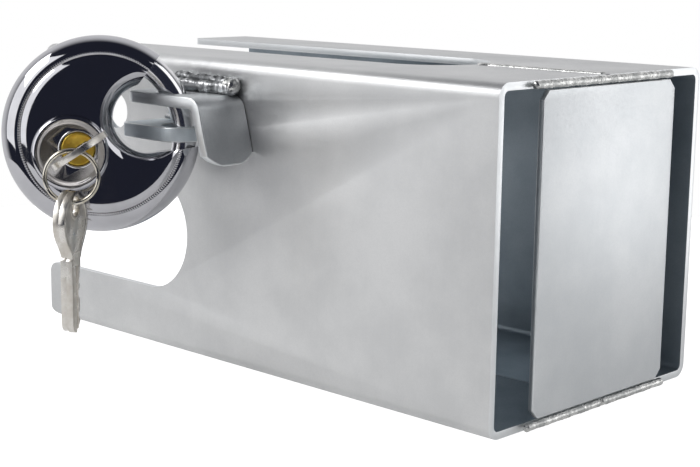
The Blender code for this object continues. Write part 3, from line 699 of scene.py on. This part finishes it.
def sheet_face(spot, normal):
    """0 outside, 1 inside (painted darker as shade), 2 on a cut edge (painted lighter as a highlight) of the
    folded sheet.
    """
    y, z = abs(spot.y), spot.z
    inner = HALF_WIDTH - SHEET
    bend = HALF_WIDTH - BEND_OUTER
    off_wall = min(abs(y - HALF_WIDTH), abs(y - inner))
    off_flat = min(abs(z), abs(z - HEIGHT), abs(z - SHEET), abs(z - HEIGHT + SHEET))
    on_wall = abs(normal.y) > 0.98 and off_wall < 0.05
    on_flat = abs(normal.z) > 0.98 and off_flat < 0.05
    in_bend = y > bend - 0.2 and (z < BEND_OUTER + 0.2 or z > HEIGHT - BEND_OUTER - 0.2)
    if not on_wall and not on_flat and not (in_bend and abs(normal.x) < 0.2):
        return 2
    out = Vector((0.0, math.copysign(1.0, spot.y), math.copysign(1.0, z - HEIGHT / 2)))
    return 0 if normal.dot(out) > 0.0 else 1


def make_channel(name, node, side):
    obj = prism(name, channel_outline(side), CHANNEL_LENGTH / 2, plane_yz(CHANNEL_LENGTH / 2))
    tools = [
        prism("cut_mouth", mouth_outline(), 60, plane_xz(0)),
        prism("cut_slot", slot_outline(), 6, plane_xy(HEIGHT)),
        prism("cut_spare", circle(*SPARE_HOLE), 60, plane_xz(0)),
        prism("cut_pin", circle(*PIN_HOLE), 60, plane_xz(0)),
        prism("cut_corner", corner_outline(), 6, plane_xz(-55 * side)),
    ]
    cut(obj, *tools)
    settle(obj, *tools)
    paint(obj, side_zinc, shaded_inner_zinc, lit_edge_zinc)
    paint_faces(obj, sheet_face)
    ease(obj, 0.22, material=2, segments=2)
    smooth(obj, 38.0)
    place(obj, "coupler_box", "galvanised_sheet", node)


def bead(name, a, b, radius, material, ripple=1.5, spread=0.12, seed=1.0, sides=20, flat=1.0, drift=0.35):
    """A weld bead from a to b (mm), a row of overlapping pools."""
    length = (Vector(b) - Vector(a)).length
    count = max(24, int(length / 0.28))
    points, radii = [], []
    for i in range(count + 1):
        t = i / count
        s = t * length
        pool = abs(math.sin(math.pi * (s + drift * wobble(s, seed)) / ripple))
        taper = min(1.0, 0.35 + 3.2 * math.sqrt(min(t, 1.0 - t) * length / radius / 8.0))
        size = radius * (1.0 - spread * 0.5 - spread * 0.45 * wobble(s * 0.9, seed))
        radii.append(taper * size * (1.0 - 0.035 * ripple * (1.0 - pool)))
        points.append(tuple(Vector(a).lerp(Vector(b), t)))
    guide = Vector((0, 0, 1)) if abs(a[1] - b[1]) > 1.0 else Vector((0, 1, 0))
    obj = tube(name, points, radii, sides, plane_xy(0), flat=flat, guide=guide)
    paint(obj, material)
    smooth(obj, 60.0)
    return obj


make_channel("near_side_sheet", "near_channel", 1)
make_channel("far_side_sheet", "far_channel", -1)


# ---------------------------------------------------------------- end plate and welds


def make_end_plate():
    w = PLATE_HALF_WIDTH
    low, high = PLATE_Z
    c = PLATE_CHAMFER
    outline = [(-w, low + c), (-w + c, low), (w - c, low), (w, low + c)]
    outline += [(w, high - c), (w - c, high), (-w + c, high), (-w, high - c)]
    half = (PLATE_X[1] - PLATE_X[0]) / 2
    obj = prism("end_closing_plate", outline, half, plane_yz(PLATE_X[0] + half))
    paint(obj, end_zinc, shaded_inner_zinc, lit_edge_zinc)
    paint_faces(obj, lambda spot, n: 0 if n.x > 0.9 else 1 if n.x < -0.9 else 2)
    ease(obj, 0.35, material=2)
    smooth(obj)
    place(obj, "coupler_box", "galvanised_sheet", "end_plate")


def make_welds():
    top = HEIGHT + 0.2 - BEAD_RADIUS
    low = BEAD_RADIUS + 0.1
    r = BEAD_RADIUS
    rows = [
        ("end_top_bead", "end_plate_top_weld", -41.0, 34.5, top, 2.3, 1.0),
        ("end_low_bead_near", "end_plate_bottom_weld_near", -39.6, 0.5, low, 2.0, 4.2),
        ("end_low_bead_far", "end_plate_bottom_weld_far", 1.2, 38.0, low, 2.0, 7.7),
    ]
    for name, node, y0, y1, z, ripple, seed in rows:
        obj = bead(name, (BEAD_X, y0, z), (BEAD_X, y1, z), r, bead_metal, ripple, 0.16, seed)
        place(obj, "coupler_box", "weld_metal", node)
    seam = bead("top_seam_bead", *TOP_SEAM, 1.5, bead_metal, 1.3, 0.12, 2.2, flat=0.53)
    place(seam, "coupler_box", "weld_metal", "top_seam_weld")
    pool = [(0.0, 0.3), (0.8, 0.34), (1.4, 0.56), (1.9, 0.6), (2.4, 0.4), (2.8, 0.0), (0.0, -0.1)]
    crater = turned("top_seam_crater", pool, 40, Matrix.Translation(p3(CRATER_X, 0, HEIGHT)))
    paint(crater, bead_metal)
    smooth(crater, 60.0)
    place(crater, "coupler_box", "weld_metal")
    keel = prism("bottom_seam_bead", [(-1.1, 0.0), (1.1, 0.0), (0.0, 1.1)], 111.5, plane_yz(113.5))
    paint(keel, bead_metal)
    place(keel, "coupler_box", "weld_metal", "bottom_seam_weld")
    lump = bead("guard_bead", *GUARD_BEAD, 2.6, guard_bead, 3.7, 0.2, 5.1, 28, drift=1.3)
    place(lump, "coupler_box", "weld_metal", "guard_weld")
    crown = bead("guard_bead_crown", *GUARD_CROWN, 2.5, guard_bead, 4.4, 0.2, 2.7, 28, drift=1.3)
    place(crown, "coupler_box", "weld_metal")
    stop = bead("guard_bead_end", *GUARD_STOP, 2.9, bead_metal, 2.4, 0.2, 1.4, 24)
    place(stop, "coupler_box", "weld_metal")
    z = TONGUE_Z[1] + 1.25
    left = (PIN_HOLE[0] - TONGUE_BEAD_HALF, TONGUE_BEAD_Y, z)
    right = (PIN_HOLE[0] + TONGUE_BEAD_HALF, TONGUE_BEAD_Y, z)
    small = bead("tongue_bead", left, right, 0.95, guard_bead, 1.1, 0.12, 3.3, 16)
    place(small, "locking_bolt", "weld_metal", "tongue_weld")


# ---------------------------------------------------------------- guard and bolt


def guard_outline():
    lean = GUARD_LEAN
    down = (math.sin(lean), -math.cos(lean))
    px, pz = GUARD_OUTER_POINT
    bend_z = GUARD_TOP - GUARD_BEND
    line_x = px + math.tan(lean) * (pz - bend_z)
    bend_x = line_x - GUARD_BEND / math.cos(lean)
    end_angle = math.degrees(math.atan2(math.sin(lean), math.cos(lean)))
    outer = arc(bend_x, bend_z, GUARD_BEND, 90, end_angle, 16)
    inner = arc(bend_x, bend_z, GUARD_BEND - GUARD_THICK, end_angle, 90, 12)
    run = (bend_z - GUARD_LEG_END + 1.0) / math.cos(lean)
    foot_outer = (outer[-1][0] + down[0] * run, outer[-1][1] + down[1] * run)
    foot_inner = (inner[0][0] + down[0] * run, inner[0][1] + down[1] * run)
    low = GUARD_TOP - GUARD_THICK
    return [(GUARD_LEFT, GUARD_TOP)] + outer + [foot_outer, foot_inner] + inner + [(GUARD_LEFT, low)]


def make_guard():
    y0, y1 = GUARD_Y
    mid = (y0 + y1) / 2
    half = (y1 - y0) / 2
    obj = prism("guard_hood", guard_outline(), half, plane_xz(mid))
    c = GUARD_CORNER
    nose = [(GUARD_LEFT - 2, y0 - 2), (GUARD_LEFT + c, y0 - 2)]
    nose += arc(GUARD_LEFT + c, y0 + c, c, 270, 180, 14)
    nose += [(GUARD_LEFT - 2, y0 + c)]
    r = GUARD_LEG_ROUND
    span = math.degrees(math.asin(half / r))
    foot = arc(mid, GUARD_LEG_END + r, r, 270 - span * 1.25, 270 + span * 1.25, 30)
    foot = [(y0 - 4, 60.0)] + [(y0 - 4, foot[0][1])] + foot + [(y1 + 4, foot[-1][1]), (y1 + 4, 60.0)]
    tools = [
        prism("cut_hole", circle(*GUARD_HOLE), 8, plane_xy(96.3)),
        prism("cut_nose", nose, 8, plane_xy(96.3)),
        prism("cut_foot", foot, 14, plane_yz(120.0)),
    ]
    cut(obj, *tools)
    settle(obj, *tools)
    paint(obj, guard_zinc, lit_edge_zinc)
    paint_faces(obj, lambda spot, n: 1 if abs(n.y) > 0.3 else 0)
    ease(obj, 0.45, material=1, angle=50.0)
    smooth(obj, 38.0)
    place(obj, "coupler_box", "guard_steel", "guard_bracket")


def make_bolt():
    x, z, _ = PIN_HOLE
    turn = Matrix.Rotation(math.radians(90), 4, "X")
    h = PIN_HALF_LENGTH
    r = PIN_RADIUS
    profile = [(0.0, h), (r - 0.8, h), (r - 0.3, h - 0.12), (r, h - 0.6), (r, -h + 1.2)]
    profile += [(r - 0.35, -h + 0.4), (r - 1.2, -h), (0.0, -h)]
    pin = turned("locking_pin_bar", profile, 72, Matrix.Translation(p3(x, 0, z)) @ turn)
    paint(pin, lit_tongue_zinc)
    smooth(pin)
    place(pin, "locking_bolt", "guard_steel", "locking_pin")
    y0, y1 = TONGUE_Y
    cx, cy = TONGUE_END
    outline = arc(TONGUE_X + 2.0, y0 + 2.0, 2.0, 180, 270, 8)
    outline += arc(cx, cy, (y1 - y0) / 2, -90, 90, 40)
    outline += [(TONGUE_X, y1)]
    mid = (TONGUE_Z[0] + TONGUE_Z[1]) / 2
    half = (TONGUE_Z[1] - TONGUE_Z[0]) / 2
    tongue = prism("locking_tongue_plate", outline, half, plane_xy(mid))
    hole = prism("cut_tongue", circle(*TONGUE_HOLE), 9, plane_xy(mid))
    cut(tongue, hole)
    settle(tongue, hole)
    paint(tongue, lit_tongue_zinc, lit_edge_zinc)
    ease(tongue, 0.35, material=1, angle=50.0)
    smooth(tongue, 38.0)
    place(tongue, "locking_bolt", "guard_steel", "locking_tongue")


# ---------------------------------------------------------------- padlock


def notch_outline(grow=0.0):
    cu, cv = NOTCH_CENTRE
    radius = NOTCH_RADIUS + grow
    du, dv = math.cos(NOTCH_TOP_ANGLE), math.sin(NOTCH_TOP_ANGLE)
    ou, ov = -dv * grow, du * grow
    along = (cu - ou) * du + (cv - ov) * dv
    apart = (cu - ou) ** 2 + (cv - ov) ** 2 - radius * radius
    reach = along + math.sqrt(along * along - apart)
    top = (ou + du * reach, ov + dv * reach)
    start = math.degrees(math.atan2(top[1] - cv, top[0] - cu))
    eu, ev = NOTCH_END[0] - cu, NOTCH_END[1] - cv
    stop = 360.0 + math.degrees(math.atan2(ev, eu) - math.asin(grow / radius))
    outline = [(ou + du * 42.0, ov + dv * 42.0)]
    outline += arc(cu, cv, radius, start, stop, 72)
    outline += [(NOTCH_END[0] - 0.52 * grow, NOTCH_END[1] - 1.16 * grow)]
    outline += [(NOTCH_RIM[0], NOTCH_RIM[1] - grow), (44.0, 10.0)]
    return outline


def roll_profile(side, grow=0.0):
    """The lip's section: a definite edge on the face, then a long curve down to the wall."""
    roll = NOTCH_ROLL - grow
    centre = NOTCH_RADIUS + NOTCH_ROLL
    base = FACE_HALF - NOTCH_ROLL * math.sin(NOTCH_LIP)
    edge = centre - roll * math.cos(NOTCH_LIP)
    points = [(0.0, side * 17.0), (edge + 2.4, side * 17.0)]
    for i in range(19):
        a = NOTCH_LIP * (1 - i / 18)
        points.append((centre - roll * math.cos(a), side * (base + roll * math.sin(a))))
    points += [(NOTCH_RADIUS + grow - 1.5, side * (base - 0.6)), (0.0, side * (base - 0.6))]
    return points


def eased(points, parts):
    """Points along a smooth curve through the given ones."""
    out = []
    for i in range(len(points) - 1):
        p0 = points[max(i - 1, 0)]
        p1, p2 = points[i], points[i + 1]
        later = points[min(i + 2, len(points) - 1)]
        for k in range(parts):
            t = k / parts
            spot = []
            for a, b, c, d in zip(p0, p1, p2, later):
                bend = (2 * a - 5 * b + 4 * c - d) * t * t + (3 * b - a - 3 * c + d) * t ** 3
                spot.append(0.5 * (2 * b + (c - a) * t + bend))
            out.append(tuple(spot))
    return out + [points[-1]]


def body_profile():
    r = BODY_RADIUS
    step = [(FACE_RADIUS, FACE_HALF), (24.6, FACE_HALF - 0.15), (25.8, FACE_HALF - 0.6)]
    step += [(26.9, RIDGE_HALF - 0.25)]
    shoulder = [(RIDGE_RADIUS, RIDGE_HALF), (28.9, 10.75), (30.2, 10.1), (31.5, 8.95)]
    shoulder += [(32.6, 7.35), (33.4, 5.5), (r, 3.4), (r, GAP / 2)]
    return [(0.0, FACE_HALF)] + eased(step, 4) + eased(shoulder, 4) + [(0.0, GAP / 2)]


def cavity_profile():
    r = BODY_RADIUS - RIM_WALL
    top = FACE_HALF - SHELL_WALL
    profile = [(0.0, top), (23.4, top), (26.6, 9.7), (29.4, 9.2), (31.4, 7.0), (32.5, 5.0)]
    return profile + [(r, 4.5), (r, -1.0), (0.0, -1.0)]


def flipped(points, side):
    return [(r, n * side) for r, n in points]


def make_shells():
    halves = (("front_shell", "padlock_front_shell", 1), ("rear_shell", "padlock_rear_shell", -1))
    for name, node, side in halves:
        shell = turned(name, flipped(body_profile(), side), 180, LOCK)
        hollow = turned("hollow", flipped(cavity_profile(), side), 90, LOCK)
        keep = prism("keep", notch_outline(SHELL_WALL), 13, LOCK)
        flare = turned("flare", roll_profile(side, SHELL_WALL), 96, notch_matrix())
        cut(hollow, keep, flare)
        settle(hollow, keep, flare)
        notch = prism("notch", notch_outline(), 17, LOCK)
        roll = turned("roll", roll_profile(side), 144, notch_matrix())
        way = [(x, y, 0.0) for x, y in circle(0.0, 0.0, SHACKLE_RADIUS, 90)]
        ring = tube("way", way, SHACKLE_WIRE + GAP, 24, LOCK, closed=True)
        tools = [notch, roll, hollow, ring]
        if side > 0:
            seat = circle(*GUARD_DISC_CENTRE, GUARD_DISC_RADIUS - 1.0)
            tools.append(prism("seat", seat, 3, lock_frame_matrix(0, 0, 12.5)))
        cut(shell, *tools)
        settle(shell, *tools)
        paint(shell, shell_steel)
        smooth(shell, 24.0)
        place(shell, "padlock_body", "polished_stainless", node)


def make_boss():
    g = GUARD_DISC_RADIUS
    rise = [(9.7, 12.6), (10.3, 12.9), (11.2, 13.5), (11.9, 13.6), (12.5, 13.2), (g, 12.3)]
    disc = [(0.0, 12.6)] + eased(rise, 5) + [(g - 1.3, 12.3), (g - 1.3, 11.3), (0.0, 11.3)]
    boss = turned("cylinder_guard_disc", disc, 120, BOSS)
    bore = prism("bore", circle(*PLUG_AXIS, PLUG_RADIUS + GAP), 20, LOCK)
    cut(boss, bore)
    settle(boss, bore)
    paint(boss, boss_steel)
    smooth(boss, 28.0)
    place(boss, "padlock_body", "polished_stainless", "cylinder_guard")
    q = PLUG_RADIUS + GAP
    lip = [(q, 12.1), (q, 12.85), (q + 0.15, 13.0), (q + 0.5, 13.0)]
    lip += [(q + 0.75, 12.8), (q + 0.8, 12.4), (q, 12.1)]
    ring = turned("keyway_lip", lip, 72, BARREL)
    paint(ring, lip_steel)
    smooth(ring, 50.0)
    place(ring, "padlock_body", "polished_stainless")


def make_plug():
    r = PLUG_RADIUS
    face = PLUG_FRONT
    dish = [(0.0, face - 0.75), (1.6, face - 0.7), (3.2, face - 0.5), (4.3, face - 0.22), (5.0, face)]
    profile = dish + [(r - 0.25, face), (r, face - 0.25), (r, PLUG_REAR), (0.0, PLUG_REAR)]
    plug = turned("lock_barrel", profile, 72, BARREL)
    w = BLADE_HALF_WIDTH + GAP
    t = KEY_HALF_THICK + GAP
    k = KEYWAY_OFFSET
    depth = KEY_SHOULDER - BLADE_LENGTH - GAP
    slot_frame = BARREL @ Matrix.Rotation(KEY_ANGLE, 4, "Z") @ Matrix.Translation((0, 0, (depth + 12.0) * MM))
    way = prism("keyway", [(-w, k - t), (w, k - t), (w, k + t), (-w, k + t)], 12.0, slot_frame)
    cut(plug, way)
    settle(plug, way)
    paint(plug, plug_brass)
    ease(plug, 0.12, segments=2)
    smooth(plug, 38.0)
    place(plug, "lock_plug", "brass", "cylinder_plug")


def make_shackle():
    low, high = SHACKLE_ARC
    points = []
    for i in range(97):
        a = math.radians(low + (high - low) * i / 96)
        points.append((SHACKLE_RADIUS * math.cos(a), SHACKLE_RADIUS * math.sin(a), 0.0))
    bow = tube("shackle_bow", points, SHACKLE_WIRE, 48, LOCK)
    paint(bow, chrome)
    ease(bow, 0.5, segments=3, angle=60.0)
    smooth(bow, 40.0)
    place(bow, "shackle_bar", "hardened_chrome", "shackle")


# ---------------------------------------------------------------- keys


def key_outline():
    """Key in its own plane: leaf-shaped bow up, blade down, shoulder at y = 0."""
    rise = eased(BOW_OUTLINE, 4)
    bow = [(BOW_OFFSET + half, NECK + y) for y, half in rise]
    bow += [(BOW_OFFSET - half, NECK + y) for y, half in rise[-2::-1]]
    w = BLADE_HALF_WIDTH
    tip = -BLADE_LENGTH
    back = [(-w, NECK - 0.6), (-w, tip + 3.2), (-w + 0.5, tip + 1.4), (-w + 1.7, tip + 0.3), (-w + 3.0, tip)]
    bits = [(w - 2.6, tip), (w - 2.2, tip + 1.8), (w - 0.9, tip + 3.6), (w - 2.0, tip + 5.1)]
    bits += [(w - 2.0, tip + 6.1), (w - 0.5, tip + 7.9), (w - 1.2, tip + 9.3), (w - 0.7, tip + 10.3)]
    bits += [(w - 2.2, tip + 12.1), (w - 2.2, tip + 13.3), (w - 0.5, tip + 15.3), (w - 1.4, tip + 16.3)]
    bits += [(w - 1.4, tip + 17.7), (w, tip + 19.3), (w, NECK - 0.6)]
    return bow + back + bits


def leaf(inset):
    """Outline of the pressed panel on the bow, inset from its edge."""
    share = 1.0 - inset / 10.4
    middle = 11.8
    rise = [(middle + (y - middle) * share, half * share) for y, half in eased(BOW_OUTLINE, 4)]
    out = [(BOW_OFFSET + half, NECK + y) for y, half in rise]
    return out + [(BOW_OFFSET - half, NECK + y) for y, half in rise[-2::-1]]


def make_key(name, node, body, matrix):
    """A cut key: rounded bow with a pressed panel and eyelet ring, milled blade."""
    t = KEY_HALF_THICK
    key = prism(name, key_outline(), t, matrix)
    tools = [prism("eye", circle(BOW_OFFSET, BOW_HOLE_Y, BOW_HOLE, 48), 4, matrix)]
    w = BLADE_HALF_WIDTH
    for side in (1, -1):
        up = matrix @ Matrix.Translation((0, 0, side * (t + 0.28) * MM))
        panel = prism("panel", leaf(1.7), 0.45, up)
        eyelet = prism("eyelet", circle(BOW_OFFSET, BOW_HOLE_Y, BOW_HOLE + 1.1, 48), 1.0, up)
        cut(panel, eyelet)
        settle(panel, eyelet)
        end = -BLADE_LENGTH - 1
        left, middle, right = 0.4 * side - 0.7, 0.4 * side + 0.1, 0.4 * side + 0.9
        groove = [(left, end), (right, end), (right, -0.6), (middle, 0.4), (left, -0.6)]
        flute = [(w - 1.0, end), (w + 1.0, end), (w + 1.0, -1.2), (w - 1.0, -1.2)]
        tools += [panel, prism("groove", groove, 0.75, up), prism("flute", flute, 0.55, up)]
    cut(key, *tools)
    settle(key, *tools)
    paint(key, key_nickel, lit_key_edge)
    spin = matrix.to_3x3()
    paint_faces(key, lambda spot, n: 1 if abs((spin.transposed() @ n).z) < 0.5 else 0)
    ease(key, 0.16, material=1, segments=2, angle=50.0)
    smooth(key, 35.0)
    place(key, body, "nickel_plate", node)


def make_ring():
    """Split ring: two turns of round wire with the crossing at its far side."""
    points = []
    count = 288
    for i in range(count + 1):
        turn = 2.0 * i / count
        a = 2.0 * math.pi * turn + math.radians(205)
        rise = min(max((turn - 0.93) / 0.14, 0.0), 1.0)
        rise = rise * rise * (3 - 2 * rise)
        points.append((RING_RADIUS * math.cos(a), RING_RADIUS * math.sin(a), RING_COIL * (2 * rise - 1)))
    ring = tube("split_key_ring", points, RING_WIRE, 16, ring_matrix(), guide=Vector((0, 0, 1)))
    paint(ring, ring_nickel)
    smooth(ring, 50.0)
    place(ring, "split_ring", "nickel_plate", "key_ring")


make_end_plate()
make_welds()
make_guard()
make_bolt()
make_shells()
make_boss()
make_plug()
make_shackle()
make_key("key_in_lock", "inserted_key", "lock_key", inserted_key_frame())
make_key("key_hanging_front", "hanging_key", "front_hanging_key", hanging_frame(*FRONT_KEY))
make_key("key_hanging_rear", "spare_key", "rear_hanging_key", hanging_frame(*REAR_KEY))
make_ring()

for node, item in (
    ("lock_frame", filler_zinc),
    ("shackle_carrier", filler_zinc),
    ("cylinder_housing", housing_brass),
    ("drive_cam", housing_brass),
):
    paint(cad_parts[node], item)


# ---------------------------------------------------------------- studio


def make_floor():
    steps, rings = 96, (0.0, 0.12, 0.24, 0.36)
    verts = [(0.0, 0.0, 0.0)]
    for r in rings[1:]:
        for i in range(steps):
            a = 2 * math.pi * i / steps
            verts.append((r * math.cos(a), r * math.sin(a), 0.0))
    faces = [[0, 1 + i, 1 + (i + 1) % steps] for i in range(steps)]
    for k in range(len(rings) - 2):
        base = 1 + k * steps
        for i in range(steps):
            j = (i + 1) % steps
            faces.append([base + i, base + steps + i, base + steps + j, base + j])
    mesh = bpy.data.meshes.new("floor")
    mesh.from_pydata(verts, [], faces)
    floor = bpy.data.objects.new("floor", mesh)
    floor.location = (0.0, 0.0, -GAP * MM)
    HOME.objects.link(floor)
    mat = bpy.data.materials.new("floor_pale")
    mat.use_nodes = True
    shader = mat.node_tree.nodes["Principled BSDF"]
    shader.inputs["Base Color"].default_value = (0.55, 0.55, 0.55, 1.0)
    shader.inputs["Roughness"].default_value = 0.9
    shader.inputs["Specular IOR Level"].default_value = 0.1
    shader.inputs["Emission Color"].default_value = (1.0, 1.0, 1.0, 1.0)
    seen = mat.node_tree.nodes.new("ShaderNodeLightPath")
    span = mat.node_tree.nodes.new("ShaderNodeMapRange")
    span.inputs["To Min"].default_value = FLOOR_CAST
    span.inputs["To Max"].default_value = FLOOR_GLOW
    mat.node_tree.links.new(seen.outputs["Is Camera Ray"], span.inputs["Value"])
    mat.node_tree.links.new(span.outputs["Result"], shader.inputs["Emission Strength"])
    mesh.materials.append(mat)


def soft_light(name, at, aim, size, strength, colour=(1.0, 1.0, 1.0)):
    """A rectangular light of the given radiance, at a place and aimed at a point in metres."""
    data = bpy.data.lights.new(name, "AREA")
    data.shape = "RECTANGLE"
    data.size, data.size_y = size
    data.energy = strength * size[0] * size[1] * math.pi
    data.color = colour
    lamp = bpy.data.objects.new(name, data)
    lamp.location = at
    lamp.rotation_mode = "QUATERNION"
    lamp.rotation_quaternion = (Vector(aim) - Vector(at)).to_track_quat("-Z", "Y")
    lamp.visible_camera = False
    HOME.objects.link(lamp)
    return lamp


def make_world():
    """White behind the object, a dark room on the camera's side."""
    world = bpy.data.worlds.new("studio")
    world.use_nodes = True
    bpy.context.scene.world = world
    tree = world.node_tree
    back = tree.nodes["Background"]
    coord = tree.nodes.new("ShaderNodeTexCoord")
    dot = tree.nodes.new("ShaderNodeVectorMath")
    dot.operation = "DOT_PRODUCT"
    tree.links.new(coord.outputs["Generated"], dot.inputs[0])
    dot.inputs[1].default_value = (math.sin(CAMERA_AZIMUTH), -math.cos(CAMERA_AZIMUTH), 0.25)
    span = tree.nodes.new("ShaderNodeMapRange")
    span.interpolation_type = "SMOOTHSTEP"
    span.inputs["From Min"].default_value = -0.55
    span.inputs["From Max"].default_value = 0.15
    tree.links.new(dot.outputs["Value"], span.inputs["Value"])
    mix = tree.nodes.new("ShaderNodeMix")
    mix.data_type = "RGBA"
    mix.inputs[6].default_value = (*ROOM_BACK, 1.0)
    mix.inputs[7].default_value = (*ROOM_FRONT, 1.0)
    tree.links.new(span.outputs["Result"], mix.inputs[0])
    seen = tree.nodes.new("ShaderNodeLightPath")
    pick = tree.nodes.new("ShaderNodeMix")
    pick.data_type = "RGBA"
    tree.links.new(seen.outputs["Is Camera Ray"], pick.inputs[0])
    tree.links.new(mix.outputs[2], pick.inputs[6])
    pick.inputs[7].default_value = (1.0, 1.0, 1.0, 1.0)
    tree.links.new(pick.outputs[2], back.inputs["Color"])


def make_camera():
    sa, ca = math.sin(CAMERA_AZIMUTH), math.cos(CAMERA_AZIMUTH)
    se, ce = math.sin(CAMERA_ELEVATION), math.cos(CAMERA_ELEVATION)
    ahead = Vector((-sa * ce, ca * ce, -se))
    right = ahead.cross(Vector((0, 0, 1))).normalized()
    up = right.cross(ahead)
    cr, sr = math.cos(CAMERA_ROLL), math.sin(CAMERA_ROLL)
    across = right * cr + up * sr
    top = up * cr - right * sr
    data = bpy.data.cameras.new("camera")
    data.lens = CAMERA_LENS
    data.sensor_width = 36.0
    data.sensor_fit = "HORIZONTAL"
    data.clip_start = 0.01
    data.clip_end = 50.0
    camera = bpy.data.objects.new("camera", data)
    turn = Matrix((across, top, -ahead)).transposed().to_4x4()
    camera.matrix_world = Matrix.Translation(Vector(CAMERA_AT) * MM) @ turn
    HOME.objects.link(camera)
    bpy.context.scene.camera = camera


FLOOR_GLOW = 1.0
FLOOR_CAST = 0.32
ROOM_BACK = (0.75, 0.75, 0.76)
ROOM_FRONT = (0.02, 0.022, 0.035)
make_floor()
make_world()
make_camera()
soft_light("left_box", (-0.34, -0.92, 0.52), (-0.03, -0.07, 0.07), (1.25, 1.2), 1.25)
soft_light("high_left", (-0.28, -0.42, 0.50), (0.05, -0.05, 0.12), (0.5, 0.22), 4.2)
soft_light("right_box", (0.9, 0.75, 0.1), (0.1, 0.0, 0.06), (1.0, 0.8), 1.2)
soft_light("right_high", (0.72, 0.30, 0.62), (0.0, -0.05, 0.09), (0.55, 0.6), 1.15)
bpy.context.scene.view_settings.view_transform = "Standard"
bpy.context.scene.view_settings.look = "None"
